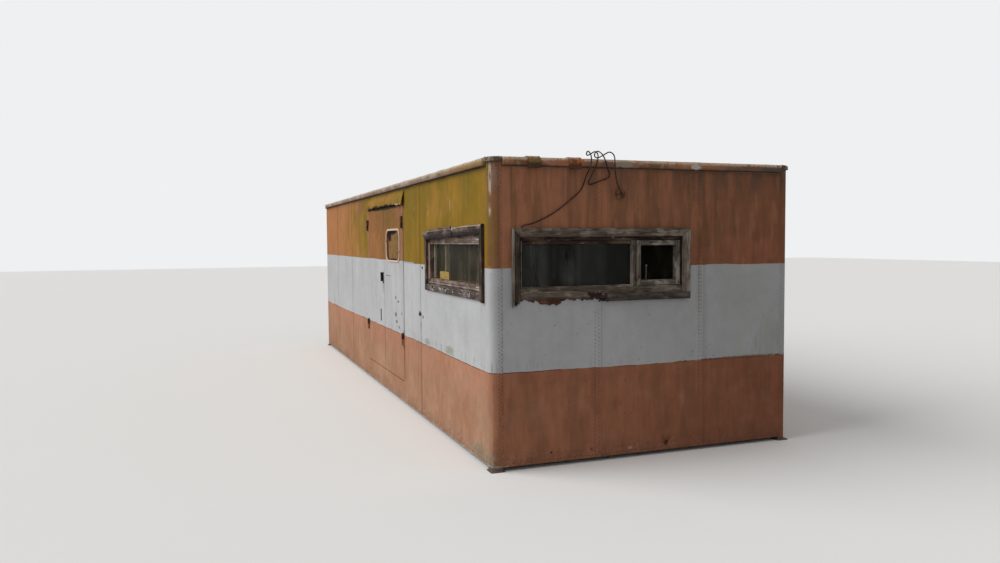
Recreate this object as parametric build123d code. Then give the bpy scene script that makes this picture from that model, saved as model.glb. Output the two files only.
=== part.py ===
import math
import os

from build123d import *

# Body of the cabin, measured over the flat outer sheets
cabin_length = 7480
cabin_width = 2500
skirt_gap = 30
eaves_height = 2111
wall_thickness = 80

# Sheet metal: laps between sheets and the rounded corner sheets
sheet_lap_width = 32
sheet_lap_rise = 2
corner_radius = 60
corner_sheet_reach = 78
corner_sheet_rise = 30
end_sheet_seams = (809, 1680)
side_sheet_seams = (1870, 5290, 6420)
foot_plate_reach = 12
foot_plate_height = 6

# Open holes in the sheets: place along the wall, height, radius and depth
end_wall_hole = (1392, 81, 20, 30)
front_wall_hole = (1913, 940, 9, 20)

# Steel runners and floor
runner_height = 120
runner_flange = 90
runner_flange_thickness = 11
runner_web = 8
runner_spacing = 1700
runner_nose = 90
rail_height = 80
rail_flange = 45
channel_thickness = 6
cross_member_count = 11
floor_thickness = 25

# Roof, its laps and its rolled edge
roof_edge_height = 72
roof_edge_proud = 38
roof_edge_top_radius = 28
roof_edge_low_radius = 12
roof_edge_end_radius = 30
roof_panel_drop = 4
roof_rise = 42
roof_slope_run = 620
roof_crown_inset = 18
roof_lap_count = 6
roof_lap_width = 30
roof_lap_rise = 2.5
corner_cap_proud = 24
corner_cap_chamfer = 10

# Flat straps folded over the roof edge at both ends
strap_places = (310, 624)
strap_width = 95
strap_thickness = 4
strap_drop = 12
strap_reach = 36

# Double door in the front wall, places measured from the near corner
door_near_edge = 2525
door_drop = 110
leaf_width = 832
leaf_thickness = 45
jamb_gap = 5
meeting_gap = 10
leaf_foot_gap = 10
leaf_head_gap = 10
door_frame_width = 30
door_stop_width = 15
door_stop_gap = 5
leaf_edge_fold = 30
leaf_panel_recess = 6
brace_rail = 60

# Barrel hinges of the door leaves, placed from the top and foot of the leaf
hinge_barrel_radius = 11
hinge_pin_radius = 6
hinge_pin_clearance = 0.05
hinge_pin_short = 8
hinge_height = 120
hinge_face_gap = 0.4
hinge_stand_off = 13
hinge_plate_width = 40
hinge_plate_thickness = 5
hinge_top_drop = 110
hinge_low_lift = 350

# Rounded window in the near leaf, its centre from the door's near edge and down from the leaf's top
port_offset = 415
port_drop = 398
port_wide = 560
port_high = 302
port_radius = 40
port_rim_width = 20
port_rim_proud = 8
port_panel_thickness = 12
port_panel_recess = 16

# Sloping drip hood over the door: folded sheet with a worn, uneven lower edge
door_hood_overhang = 85
door_hood_run = 1760
door_hood_proud = 34
door_hood_fall = 126
door_hood_flange = 10
door_hood_sheet = 3
door_hood_wave = 4
door_hood_waves = 7

# Handle and slot plate on the far leaf, placed from the door's near edge and the leaf's foot
handle_offset = 895
handle_lift = 922
handle_plate_wide = 44
handle_plate_high = 118
handle_plate_thickness = 5
handle_bar = 12
handle_arm_lift = 20
handle_proud = 30
handle_knob_radius = 11
slot_offset = 1025
slot_lift = 510
slot_wide = 20
slot_high = 115
slot_depth = 30
slot_rim = 7
slot_rim_proud = 3

# Windows: timber boards lapping over the edge of the opening
casing_lap = 10
glass_thickness = 4
glass_groove = 10

# Window in the near end wall, from the near corner and down from the eaves
end_window_start = 150
end_window_wide = 1430
end_window_drop = 421
end_window_high = 525
end_board = 62
end_board_proud = 30
end_jamb_tail = 35
end_low_board_start = 715
end_sash_set_back = 4
end_sash_thickness = 52
end_sash_side = 26
end_sash_top = 37
end_sash_bead = 26
end_sash_low = 53
end_glass_depth = 30
mullion_place = 946
mullion_wide = 34
vent_rail = 40
vent_thickness = 42
vent_proud = 6
vent_clearance = 0.5
latch_place = 1222
latch_height = 105
latch_rod_radius = 2.5
latch_knob_radius = 6
latch_knob_length = 14

# Window in the front wall
side_window_gap = 53
side_window_wide = 1519
side_window_drop = 386
side_window_high = 545
side_board = 52
side_board_proud = 18
side_sash_set_back = 14
side_sash_thickness = 54
side_sash_side = 14
side_sash_top = 83
side_sash_low = 65
side_glass_depth = 44
side_hood_high = 72
side_hood_proud = 26
side_hood_radius = 12
side_hood_fall = 38
side_hood_tip = 50
side_hood_slant = 100

# Cable entry in the near end wall, down from the eaves
eye_place = 997
eye_drop = 176
eye_radius = 37
eye_proud = 14
eye_cup_radius = 20
eye_cup_floor = 4

# Cable from the entry over the roof edge and along the wall to the window:
# how far out from the end wall, place from the near corner, height above the ground
cable_diameter = 9
cable_sides = 8
cable_route = [
    (4, 997, 1935), (25, 997, 1935), (43, 984, 1944), (52, 961, 1968), (54, 939, 2018),
    (55, 927, 2095), (56, 925, 2160), (50, 926, 2196), (24, 925, 2222), (-18, 918, 2238),
    (-60, 900, 2220), (-84, 860, 2194), (-68, 822, 2206), (-24, 812, 2238), (18, 822, 2232),
    (46, 838, 2202), (57, 850, 2160), (52, 868, 2110), (38, 890, 2080), (23, 899, 2059),
    (13, 888, 2043), (11, 858, 2034), (11, 808, 2016), (11, 768, 2001), (12, 743, 1997),
    (16, 733, 2011), (26, 740, 2038), (46, 758, 2082), (57, 778, 2136), (52, 794, 2184),
    (28, 803, 2218), (-14, 800, 2238), (-50, 778, 2214), (-46, 750, 2208), (-14, 738, 2236),
    (22, 740, 2228), (47, 743, 2194), (56, 739, 2150), (50, 726, 2102), (29, 706, 2050),
    (15, 702, 2012), (11, 691, 1978), (11, 664, 1942), (11, 612, 1900), (11, 532, 1838),
    (11, 443, 1781), (11, 350, 1737), (12, 286, 1716), (13, 252, 1712), (14, 233, 1706),
    (15, 225, 1698), (15, 225, 1690),
]
bend_share = 0.45

half_length = cabin_length / 2
half_width = cabin_width / 2
inner_half_length = half_length - wall_thickness
inner_half_width = half_width - wall_thickness
rail_top = runner_height + rail_height
floor_top = rail_top + floor_thickness
roof_top = eaves_height + roof_edge_height
roof_edge_level = roof_top - roof_panel_drop
frame_top = eaves_height - door_drop
door_head = frame_top - door_frame_width
leaf_top = door_head - leaf_head_gap
leaf_low = floor_top + leaf_foot_gap
door_clear_width = 2 * leaf_width + meeting_gap + 2 * jamb_gap
door_near_x = half_length - door_near_edge
door_far_x = door_near_x - door_clear_width
frame_near_x = door_near_x + door_frame_width
frame_far_x = door_far_x - door_frame_width
near_leaf_x = (door_near_x - jamb_gap - leaf_width, door_near_x - jamb_gap)
far_leaf_x = (door_far_x + jamb_gap, door_far_x + jamb_gap + leaf_width)
near_hinge_x = door_near_x - jamb_gap / 2
far_hinge_x = door_far_x + jamb_gap / 2
hinge_levels = (leaf_low + hinge_low_lift, leaf_top - hinge_top_drop - hinge_height)
stop_front = leaf_thickness + door_stop_gap
port_place = door_near_edge + port_offset
handle_place = door_near_edge + handle_offset
slot_place = door_near_edge + slot_offset
side_window_start = corner_sheet_reach + side_window_gap


def block(x_range, y_range, z_range):
    x_low, x_high = sorted(x_range)
    y_low, y_high = sorted(y_range)
    z_low, z_high = sorted(z_range)
    size = Box(x_high - x_low, y_high - y_low, z_high - z_low, align=(Align.MIN, Align.MIN, Align.MIN))
    return Pos(x_low, y_low, z_low) * size


def along_front(distance):
    # x of a place on the front wall, measured from the near corner
    return half_length - distance


def along_end(distance):
    # y of a place on the near end wall, measured from the near corner
    return distance - half_width


def proud_front(amount):
    # y of a plane that stands out from the front wall
    return -half_width - amount


def proud_end(amount):
    # x of a plane that stands out from the near end wall
    return half_length + amount


def front_block(distances, depths, heights):
    # A block on the front wall: distance from the near corner, how far proud, height
    xs = [along_front(d) for d in distances]
    ys = [proud_front(d) for d in depths]
    return block(xs, ys, heights)


def end_block(distances, depths, heights):
    ys = [along_end(d) for d in distances]
    xs = [proud_end(d) for d in depths]
    return block(xs, ys, heights)


def front_pin(place, height, radius, depths):
    # A round pin or hole square to the front wall
    low, high = sorted(depths)
    pin = Rot(90, 0, 0) * Cylinder(radius, high - low, align=(Align.CENTER, Align.CENTER, Align.MIN))
    return Pos(along_front(place), proud_front(low), height) * pin


def front_plate(corners, proud):
    # A flat plate on the front wall, its corners given as distance from the near corner and height
    outline = Polyline(*[(along_front(place), height) for place, height in corners], close=True)
    return extrude(Plane.XZ.offset(half_width) * make_face(outline), proud)


def end_pin(place, height, radius, depths):
    low, high = sorted(depths)
    pin = Rot(0, 90, 0) * Cylinder(radius, high - low, align=(Align.CENTER, Align.CENTER, Align.MIN))
    return Pos(proud_end(low), along_end(place), height) * pin


def at_corners(piece):
    # The same piece mirrored into the four corners
    near = [piece, mirror(piece, Plane.XZ)]
    return near + [mirror(p, Plane.YZ) for p in near]


def runner_beams():
    # Two rolled I beams with their noses cut back like sledge runners
    tall = Rectangle(runner_web, runner_height)
    flange = Rectangle(runner_flange, runner_flange_thickness)
    low = Pos(0, -(runner_height - runner_flange_thickness) / 2) * flange
    high = mirror(low, Plane.XZ)
    section = Plane.YZ * (tall + low + high)
    run = cabin_length - 2 * wall_thickness
    beam = Pos(-run / 2, 0, runner_height / 2) * extrude(section, run)
    nose = Plane.XZ * Polyline((0, 0), (runner_nose, 0), (0, runner_nose), close=True)
    wedge = extrude(make_face(nose), runner_flange, both=True)
    beam -= Pos(-run / 2, 0, 0) * wedge
    beam -= mirror(Pos(-run / 2, 0, 0) * wedge, Plane.YZ)
    half = runner_spacing / 2
    return Compound(children=[Pos(0, -half, 0) * beam, Pos(0, half, 0) * beam])


def channel(length):
    # A channel along X with its web on the -Y side and its foot at z = 0
    web = block((0, length), (0, channel_thickness), (0, rail_height))
    flanges = block((0, length), (0, rail_flange), (0, channel_thickness))
    flanges += block((0, length), (0, rail_flange), (rail_height - channel_thickness, rail_height))
    return web + flanges


def side_rails():
    run = 2 * inner_half_length
    front = Pos(-inner_half_length, -inner_half_width, runner_height) * channel(run)
    return Compound(children=[front, mirror(front, Plane.XZ)])


def cross_members():
    run = 2 * (inner_half_width - rail_flange)
    one = Rot(0, 0, 90) * channel(run)
    first = -inner_half_length + rail_flange
    step = (2 * inner_half_length - rail_flange) / (cross_member_count - 1)
    pieces = []
    for i in range(cross_member_count):
        pieces.append(Pos(first + i * step, -run / 2, runner_height) * one)
    return Compound(children=pieces)


def floor_deck():
    xs = (-inner_half_length, inner_half_length)
    ys = (-inner_half_width, inner_half_width)
    return block(xs, ys, (rail_top, floor_top))


def lap_strips(maker, seams):
    # Raised laps where one wall sheet covers the next
    strips = []
    for seam in seams:
        strips.append(maker((seam, seam + sheet_lap_width), (0, sheet_lap_rise), (skirt_gap, eaves_height)))
    return strips


def opening(start, wide, top, high, board):
    # Clear hole behind the casing boards: (first, last) along the wall, (low, high) above ground
    lap = board - casing_lap
    return (start + lap, start + wide - lap), (top - high + lap, top - lap)


end_window_top = eaves_height - end_window_drop
end_hole = opening(end_window_start, end_window_wide, end_window_top, end_window_high, end_board)
side_window_top = eaves_height - side_window_drop
side_clear = opening(side_window_start, side_window_wide, side_window_top, side_window_high, side_board)
side_hole = side_clear[0], (side_clear[1][0], side_window_top - side_hood_high + casing_lap)


def end_wall_panel():
    span = (wall_thickness, cabin_width - wall_thickness)
    wall = end_block(span, (-wall_thickness, 0), (skirt_gap, eaves_height))
    for strip in lap_strips(end_block, end_sheet_seams):
        wall += strip
    return wall


def near_end_wall():
    wall = end_wall_panel() - end_block(end_hole[0], (-wall_thickness, sheet_lap_rise), end_hole[1])
    place, height, radius, depth = end_wall_hole
    return wall - end_pin(place, height, radius, (-depth, sheet_lap_rise))


def far_end_wall():
    return mirror(end_wall_panel(), Plane.YZ)


def back_wall():
    span = (wall_thickness, cabin_length - wall_thickness)
    wall = front_block(span, (-wall_thickness, 0), (skirt_gap, eaves_height))
    for strip in lap_strips(front_block, side_sheet_seams):
        wall += strip
    return mirror(wall, Plane.XZ)


def front_panel(xs, heights):
    return block(xs, (-half_width, -inner_half_width), heights)


def window_bay():
    wall = front_panel((frame_near_x, inner_half_length), (skirt_gap, eaves_height))
    for strip in lap_strips(front_block, [s for s in side_sheet_seams if s < door_near_edge]):
        wall += strip
    wall -= front_block(side_hole[0], (-wall_thickness, sheet_lap_rise), side_hole[1])
    place, height, radius, depth = front_wall_hole
    return wall - front_pin(place, height, radius, (-depth, sheet_lap_rise))


def over_door_panel():
    return front_panel((frame_far_x, frame_near_x), (frame_top, eaves_height))


def under_door_panel():
    return front_panel((frame_far_x, frame_near_x), (skirt_gap, rail_top))


def far_bay():
    wall = front_panel((-inner_half_length, frame_far_x), (skirt_gap, eaves_height))
    for strip in lap_strips(front_block, [s for s in side_sheet_seams if s > door_near_edge]):
        wall += strip
    return wall


def corner_outline(inner_faces):
    # Plan of the near front corner; inner_faces closes it as a full post or as the bare sheet
    r = corner_radius + sheet_lap_rise
    cx = half_length - corner_radius
    cy = -half_width + corner_radius
    outer_x = proud_end(sheet_lap_rise)
    outer_y = proud_front(sheet_lap_rise)
    edge_x = along_front(corner_sheet_reach)
    edge_y = along_end(corner_sheet_reach)
    outside = [
        Line((edge_x, -half_width), (edge_x, outer_y)),
        Line((edge_x, outer_y), (cx, outer_y)),
        CenterArc((cx, cy), r, 270, 90),
        Line((outer_x, cy), (outer_x, edge_y)),
        Line((outer_x, edge_y), (half_length, edge_y)),
    ]
    return make_face(outside + inner_faces)


def corner_sheet():
    # Rounded post in the near front corner, its sheet lapping onto both walls and standing up past the eaves
    edge_x = along_front(corner_sheet_reach)
    edge_y = along_end(corner_sheet_reach)
    post_faces = [
        Line((half_length, edge_y), (half_length, -inner_half_width)),
        Line((half_length, -inner_half_width), (inner_half_length, -inner_half_width)),
        Line((inner_half_length, -inner_half_width), (inner_half_length, -half_width)),
        Line((inner_half_length, -half_width), (edge_x, -half_width)),
    ]
    sheet_faces = [
        Line((half_length, edge_y), (half_length, -half_width + corner_radius)),
        CenterArc((half_length - corner_radius, -half_width + corner_radius), corner_radius, 270, 90),
        Line((half_length - corner_radius, -half_width), (edge_x, -half_width)),
    ]
    post = extrude(corner_outline(post_faces), eaves_height - foot_plate_height)
    post = Pos(0, 0, foot_plate_height) * post
    post += Pos(0, 0, eaves_height) * extrude(corner_outline(sheet_faces), corner_sheet_rise)
    side = wall_thickness + 2 * foot_plate_reach
    foot = extrude(RectangleRounded(side, side, foot_plate_reach), foot_plate_height)
    return post + Pos(half_length - wall_thickness / 2, -half_width + wall_thickness / 2, 0) * foot


def rolled_section(grow):
    # Rolled roof edge: flat against the wall line, rounded on the outside
    proud = roof_edge_proud + grow
    section = Rectangle(proud, roof_edge_height + grow, align=(Align.MIN, Align.MIN))
    outer = section.vertices().sort_by(Axis.X)[2:].sort_by(Axis.Y)
    section = fillet(outer[1], roof_edge_top_radius + grow)
    low = [v for v in section.vertices() if v.X > proud - 1 and v.Y < 1]
    return fillet(low, roof_edge_low_radius + grow)


def roof_edge(run, distance):
    # One straight length with rounded ends, its flat side at the given distance from the centre line
    section = Plane.XZ * Pos(distance, eaves_height) * rolled_section(0)
    length = extrude(section, run / 2, both=True)
    plan = RectangleRounded(2 * roof_edge_proud, run, roof_edge_end_radius)
    return length & Pos(distance, 0, eaves_height) * extrude(plan, roof_edge_height)


def roof_edge_straps():
    # Flat straps over the rolled edge, hanging below it and turned in onto the roof
    corner = (Align.MIN, Align.MIN)
    tail = strap_drop + roof_edge_low_radius
    outer_tail = Rectangle(roof_edge_proud + strap_thickness, strap_drop + tail, align=corner)
    inner_tail = Rectangle(roof_edge_proud, tail, align=corner)
    strap = rolled_section(strap_thickness) + Pos(0, -strap_drop) * outer_tail
    strap -= rolled_section(0)
    strap -= Pos(0, -strap_drop) * inner_tail
    strap += Pos(-strap_reach, roof_edge_height) * Rectangle(strap_reach, strap_thickness, align=corner)
    pieces = []
    for place in strap_places:
        section = Plane.XZ * Pos(half_length, eaves_height) * strap
        pieces.append(Pos(0, along_end(place), 0) * extrude(section, strap_width / 2, both=True))
    return Compound(children=pieces + [mirror(p, Plane.YZ) for p in pieces])


def roof_corner_cap():
    # Small folded cap above the corner sheet, closing the roof corner between the rolled edges
    height = roof_edge_height - corner_sheet_rise
    section = Rectangle(corner_cap_proud, height, align=(Align.MIN, Align.MIN))
    section = chamfer(section.vertices().sort_by(Axis.X)[2:].sort_by(Axis.Y)[1], corner_cap_chamfer)
    level = eaves_height + corner_sheet_rise
    turn = revolve(Plane.XZ * Pos(corner_radius, 0) * section, axis=Axis.Z, revolution_arc=90)
    cap = Pos(half_length - corner_radius, half_width - corner_radius, level) * turn
    tail = corner_sheet_reach - corner_radius
    straight = extrude(Plane.XZ * Pos(half_length, 0) * section, tail)
    cap += Pos(0, half_width - corner_radius, level) * straight
    swung = Rot(0, 0, 90) * extrude(Plane.XZ * Pos(half_width, 0) * section, -tail)
    return cap + Pos(half_length - corner_radius, 0, level) * swung


def hipped(level):
    # Low hipped crown, its foot set in so that it clears the rounded roof corners
    def section(half):
        foot, crown = half - roof_crown_inset, half - roof_slope_run
        side = [(foot, eaves_height), (foot, level), (crown, level + roof_rise)]
        return make_face(Polyline(*side, *[(-place, height) for place, height in reversed(side)], close=True))

    across = extrude(Plane.YZ * section(half_width), half_length, both=True)
    return across & extrude(Plane.XZ * section(half_length), half_width, both=True)


def roof_panel():
    # Hipped sheet roof with raised laps across it
    rounded = RectangleRounded(cabin_length, cabin_width, corner_radius)
    roof = Pos(0, 0, eaves_height) * extrude(rounded, roof_edge_level - eaves_height)
    roof += hipped(roof_edge_level)
    raised = hipped(roof_edge_level + roof_lap_rise)
    step = cabin_length / (roof_lap_count + 1)
    for i in range(roof_lap_count):
        x = -half_length + (i + 1) * step
        foot = half_width - roof_crown_inset
        band = block((x, x + roof_lap_width), (-foot, foot),
                     (roof_edge_level, roof_edge_level + roof_rise + roof_lap_rise))
        roof += raised & band
    return roof


def door_frame():
    outer = block((frame_far_x, frame_near_x), (-half_width, -inner_half_width), (rail_top, frame_top))
    clear = block((door_far_x, door_near_x), (-half_width, -half_width + stop_front), (floor_top, door_head))
    through_x = (door_far_x + door_stop_width, door_near_x - door_stop_width)
    through = block(through_x, (-half_width, -inner_half_width), (floor_top, door_head - door_stop_width))
    return outer - clear - through


def leaf_blank(x_range):
    # Sheet leaf with a folded edge and a shallow recessed back braced by a rail
    leaf = block(x_range, (-half_width, -half_width + leaf_thickness), (leaf_low, leaf_top))
    x_low, x_high = sorted(x_range)
    back = block((x_low + leaf_edge_fold, x_high - leaf_edge_fold),
                 (-half_width + leaf_thickness - leaf_panel_recess, -half_width + leaf_thickness),
                 (leaf_low + leaf_edge_fold, leaf_top - leaf_edge_fold))
    middle = (leaf_low + leaf_top) / 2
    rail = block((x_low, x_high), (-half_width, -half_width + leaf_thickness),
                 (middle - brace_rail / 2, middle + brace_rail / 2))
    return leaf - back + rail


def port_block(grow, depths, radius):
    # A rounded block on the port's centre; depths are measured outwards from the sheet
    low, high = sorted(depths)
    shape = RectangleRounded(port_wide + 2 * grow, port_high + 2 * grow, radius)
    solid = extrude(Plane.XZ * shape, high - low)
    return Pos(along_front(port_place), proud_front(low), leaf_top - port_drop) * solid


def near_leaf():
    return leaf_blank(near_leaf_x) - port_block(0, (-leaf_thickness, 0), port_radius)


def slot_block(grow, depths):
    w = slot_wide / 2 + grow
    h = slot_high / 2 + grow
    middle = leaf_low + slot_lift + slot_high / 2
    return front_block((slot_place - w, slot_place + w), depths, (middle - h, middle + h))


def far_leaf():
    return leaf_blank(far_leaf_x) - slot_block(0, (-slot_depth, 0))


def port_rim():
    rim = port_block(port_rim_width, (0, port_rim_proud), port_radius + port_rim_width)
    return rim - port_block(0, (0, port_rim_proud), port_radius)


def port_panel():
    low = -port_panel_recess - port_panel_thickness
    return port_block(0, (low, -port_panel_recess), port_radius)


def hinge_half(x, side, level):
    # Barrel with its plate; side is +1 where the plate reaches towards +X
    half = (hinge_height - hinge_face_gap) / 2
    barrel = Pos(x, proud_front(hinge_stand_off), level) * Cylinder(
        hinge_barrel_radius, half, align=(Align.CENTER, Align.CENTER, Align.MIN))
    plate = block((x, x + side * hinge_plate_width), (proud_front(0), proud_front(hinge_plate_thickness)),
                  (level, level + half))
    return barrel + plate


def hinge_lower(x, side, level):
    # Fixed lower half with the pin standing out of it
    pin = Pos(x, proud_front(hinge_stand_off), level) * Cylinder(
        hinge_pin_radius, hinge_height - hinge_pin_short, align=(Align.CENTER, Align.CENTER, Align.MIN))
    return hinge_half(x, side, level) + pin


def hinge_upper(x, side, level):
    level += (hinge_height + hinge_face_gap) / 2
    bore = Pos(x, proud_front(hinge_stand_off), level) * Cylinder(
        hinge_pin_radius + hinge_pin_clearance, hinge_height, align=(Align.CENTER, Align.CENTER, Align.MIN))
    return hinge_half(x, side, level) - bore


def frame_hinges():
    pieces = []
    for level in hinge_levels:
        pieces.append(hinge_lower(near_hinge_x, 1, level))
        pieces.append(hinge_lower(far_hinge_x, -1, level))
    return Compound(children=pieces)


def leaf_hinges(x, side):
    return Compound(children=[hinge_upper(x, side, level) for level in hinge_levels])


def door_hood():
    # Sheet apron sloping out from under the roof edge, its flange cut to an uneven lower edge
    fold = eaves_height - door_hood_fall
    low = fold - door_hood_flange
    s = door_hood_sheet
    inner = door_hood_proud - s
    profile = Polyline((0, eaves_height), (door_hood_proud, fold), (door_hood_proud, low - door_hood_wave),
                       (inner, low - door_hood_wave), (inner, fold), (0, eaves_height - 4 * s), close=True)
    run = door_hood_run
    near_x = along_front(door_near_edge - door_hood_overhang)
    outwards = Plane((near_x, -half_width, 0), x_dir=(0, -1, 0), z_dir=(-1, 0, 0))
    sheet = extrude(outwards * make_face(profile), run)
    wave = []
    for i in range(door_hood_waves + 1):
        wave.append((i * run / door_hood_waves, low + door_hood_wave * math.sin(2.3 * i + 0.6 * i * i)))
    under = low - 2 * door_hood_proud
    below = Polyline(wave[-1], (run, under), (0, under), wave[0])
    cutter = extrude(Plane.XZ * make_face([Spline(*wave), below]), 2 * door_hood_proud, both=True)
    return sheet - Pos(near_x - run, -half_width, 0) * cutter


def door_handle():
    # Plate with a square bar bent up into a hook, a round knob on its end
    w = handle_plate_wide / 2
    b = handle_bar / 2
    low = leaf_low + handle_lift
    high = low + handle_plate_high
    arm = low + handle_arm_lift
    bar_span = (handle_place - b, handle_place + b)
    outside = (handle_proud - handle_bar, handle_proud)
    handle = front_block((handle_place - w, handle_place + w), (0, handle_plate_thickness), (low, high))
    handle += front_block(bar_span, (0, handle_proud), (arm, arm + handle_bar))
    handle += front_block(bar_span, outside, (arm, high))
    return handle + front_pin(handle_place, high - handle_knob_radius, handle_knob_radius, outside)


def slot_plate():
    return slot_block(slot_rim, (0, slot_rim_proud)) - slot_block(0, (0, slot_rim_proud))


def ring(maker, outer, inner, depths):
    solid = maker(outer[0], depths, outer[1])
    return solid - maker(inner[0], depths, inner[1])


def shrink(hole, side, low=None, top=None):
    # The area left inside a frame of boards: its sides, and its low and top rail where they differ
    (a, b), (c, d) = hole
    low = side if low is None else low
    top = side if top is None else top
    return (a + side, b - side), (c + low, d - top)


end_inside = shrink(end_hole, end_sash_side, end_sash_low, end_sash_top)
end_mullion = (end_window_start + mullion_place, end_window_start + mullion_place + mullion_wide)
end_light = (end_inside[0][0], end_mullion[0]), (end_inside[1][0], end_inside[1][1] - end_sash_bead)
vent_hole = (end_mullion[1], end_inside[0][1]), end_inside[1]
side_light = shrink(side_hole, side_sash_side, side_sash_low, side_sash_top)


def end_window_casing():
    # Boards round the opening; the low board is gone on the near side and the near jamb hangs past it
    end = end_window_start + end_window_wide
    outer = (end_window_start, end), (end_window_top - end_window_high, end_window_top)
    inner = shrink(outer, end_board)
    depths = (0, end_board_proud)
    casing = ring(end_block, outer, inner, depths)
    low = outer[1][0]
    casing -= end_block((inner[0][0], end_window_start + end_low_board_start), depths, (low, inner[1][0]))
    casing += end_block((outer[0][0], inner[0][0]), depths, (low - end_jamb_tail, low))
    for strip in lap_strips(end_block, end_sheet_seams):
        casing -= strip
    return casing


def end_sash():
    # Frame with a fixed light, a mullion and the place of the vent
    depths = (-end_sash_set_back - end_sash_thickness, -end_sash_set_back)
    sash = end_block(end_hole[0], depths, end_hole[1])
    sash -= end_block(end_light[0], depths, end_light[1])
    sash -= end_block(vent_hole[0], depths, vent_hole[1])
    return sash - end_pane()


def end_pane():
    (a, b), (c, d) = end_light
    g = glass_groove
    return end_block((a - g, b + g), (-end_glass_depth - glass_thickness, -end_glass_depth), (c - g, d + g))


def vent_sash():
    outer = shrink(vent_hole, vent_clearance)
    return ring(end_block, outer, shrink(outer, vent_rail), (vent_proud - vent_thickness, vent_proud))


def vent_latch():
    # Peg stay standing on the low rail of the vent
    foot = vent_hole[1][0] + vent_clearance + vent_rail
    middle = vent_proud - vent_thickness / 2
    rod = Cylinder(latch_rod_radius, latch_height, align=(Align.CENTER, Align.CENTER, Align.MIN))
    latch = Pos(proud_end(middle), along_end(latch_place), foot) * rod
    half = latch_knob_length / 2
    knob = end_pin(latch_place, foot + latch_height, latch_knob_radius, (middle - half, middle + half))
    return latch + knob


def side_window_casing():
    # Two jambs and the low board; the near jamb is mitred to the head board, the far one ends under it
    low, top = side_window_top - side_window_high, side_window_top - side_hood_high
    outer = (side_window_start, side_window_start + side_window_wide), (low, top)
    casing = ring(front_block, outer, shrink(outer, side_board, top=0), (0, side_board_proud))
    near = side_window_start
    mitre = [(near, top), (near + side_board, top), (near, side_window_top)]
    return casing + front_plate(mitre, side_board_proud) - hood_blank()


def side_sash():
    depths = (-side_sash_set_back - side_sash_thickness, -side_sash_set_back)
    return ring(front_block, side_hole, side_light, depths) - side_pane()


def side_pane():
    (a, b), (c, d) = side_light
    g = glass_groove
    depths = (-side_glass_depth - glass_thickness, -side_glass_depth)
    return front_block((a - g, b + g), depths, (c - g, d + g))


def hood_blank():
    # Head board mitred at its near end, falling to a slanted tip past the far jamb
    near = side_window_start
    far = side_window_start + side_window_wide + side_hood_tip
    top, low = side_window_top, side_window_top - side_hood_high
    corners = [(near, top), (near + side_board, low), (far - side_hood_slant, low - side_hood_fall),
               (far, top - side_hood_fall)]
    return front_plate(corners, side_hood_proud)


def side_window_hood():
    board = hood_blank()
    front = board.faces().sort_by(Axis.Y)[0].edges().sort_by(Axis.Z)
    return fillet([front[0], front[-1]], side_hood_radius)


def cable_eye():
    # Round bush on the sheet with a cup that the cable comes out of
    height = eaves_height - eye_drop
    bush = end_pin(eye_place, height, eye_radius, (0, eye_proud))
    return bush - end_pin(eye_place, height, eye_cup_radius, (eye_cup_floor, eye_proud))


def bend_radii(points):
    radii = []
    for before, at, after in zip(points, points[1:], points[2:]):
        turn = math.radians((at - before).get_angle(after - at))
        shorter = min((at - before).length, (after - at).length)
        radii.append(bend_share * shorter / math.tan(turn / 2))
    return radii


def supply_cable():
    points = [Vector(proud_end(out), along_end(place), height) for out, place, height in cable_route]
    radii = bend_radii(points)
    path = FilletPolyline(*points, radius=radii)
    section = Plane(points[0], z_dir=points[1] - points[0]) * RegularPolygon(cable_diameter / 2, cable_sides)
    tube = sweep(section, path=path)
    area = section.area
    print("cable radii", [round(r) for r in radii])
    print("cable length", round(path.length), "volume share", round(tube.volume / (area * path.length), 4))
    return tube


def write(name, solid):
    export_step(solid, f"parts/{name}.step")


def build():
    os.makedirs("parts", exist_ok=True)
    write("skid_runners", runner_beams())
    write("floor_side_rails", side_rails())
    write("floor_cross_members", cross_members())
    write("floor_deck", floor_deck())
    write("end_wall", near_end_wall())
    write("far_end_wall", far_end_wall())
    write("back_wall", back_wall())
    write("front_wall_window_bay", window_bay())
    write("front_wall_over_door", over_door_panel())
    write("front_wall_under_door", under_door_panel())
    write("front_wall_far_bay", far_bay())
    corner_names = ("front_near", "back_near", "front_far", "back_far")
    for name, post in zip(corner_names, at_corners(corner_sheet())):
        write(f"corner_sheet_{name}", post)
    write("roof_panel", roof_panel())
    side_run = cabin_length - 2 * corner_sheet_reach
    end_run = cabin_width - 2 * corner_sheet_reach
    write("roof_edge_near", roof_edge(end_run, half_length))
    write("roof_edge_far", Rot(0, 0, 180) * roof_edge(end_run, half_length))
    write("roof_edge_front", Rot(0, 0, -90) * roof_edge(side_run, half_width))
    write("roof_edge_back", Rot(0, 0, 90) * roof_edge(side_run, half_width))
    write("roof_corner_caps", Compound(children=at_corners(roof_corner_cap())))
    write("roof_edge_straps", roof_edge_straps())
    write("door_frame", door_frame())
    write("door_hood", door_hood())
    write("frame_hinges", frame_hinges())
    write("door_leaf_near", near_leaf())
    write("door_leaf_near_hinges", leaf_hinges(near_hinge_x, -1))
    write("door_port_rim", port_rim())
    write("door_port_panel", port_panel())
    write("door_leaf_far", far_leaf())
    write("door_leaf_far_hinges", leaf_hinges(far_hinge_x, 1))
    write("door_handle", door_handle())
    write("door_key_plate", slot_plate())
    write("end_window_casing", end_window_casing())
    write("end_window_sash", end_sash())
    write("end_window_glass", end_pane())
    write("end_window_vent", vent_sash())
    write("end_window_latch", vent_latch())
    write("side_window_casing", side_window_casing())
    write("side_window_hood", side_window_hood())
    write("side_window_sash", side_sash())
    write("side_window_glass", side_pane())
    write("cable_eye", cable_eye())
    write("supply_cable", supply_cable())


build()
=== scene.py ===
import math

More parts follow.
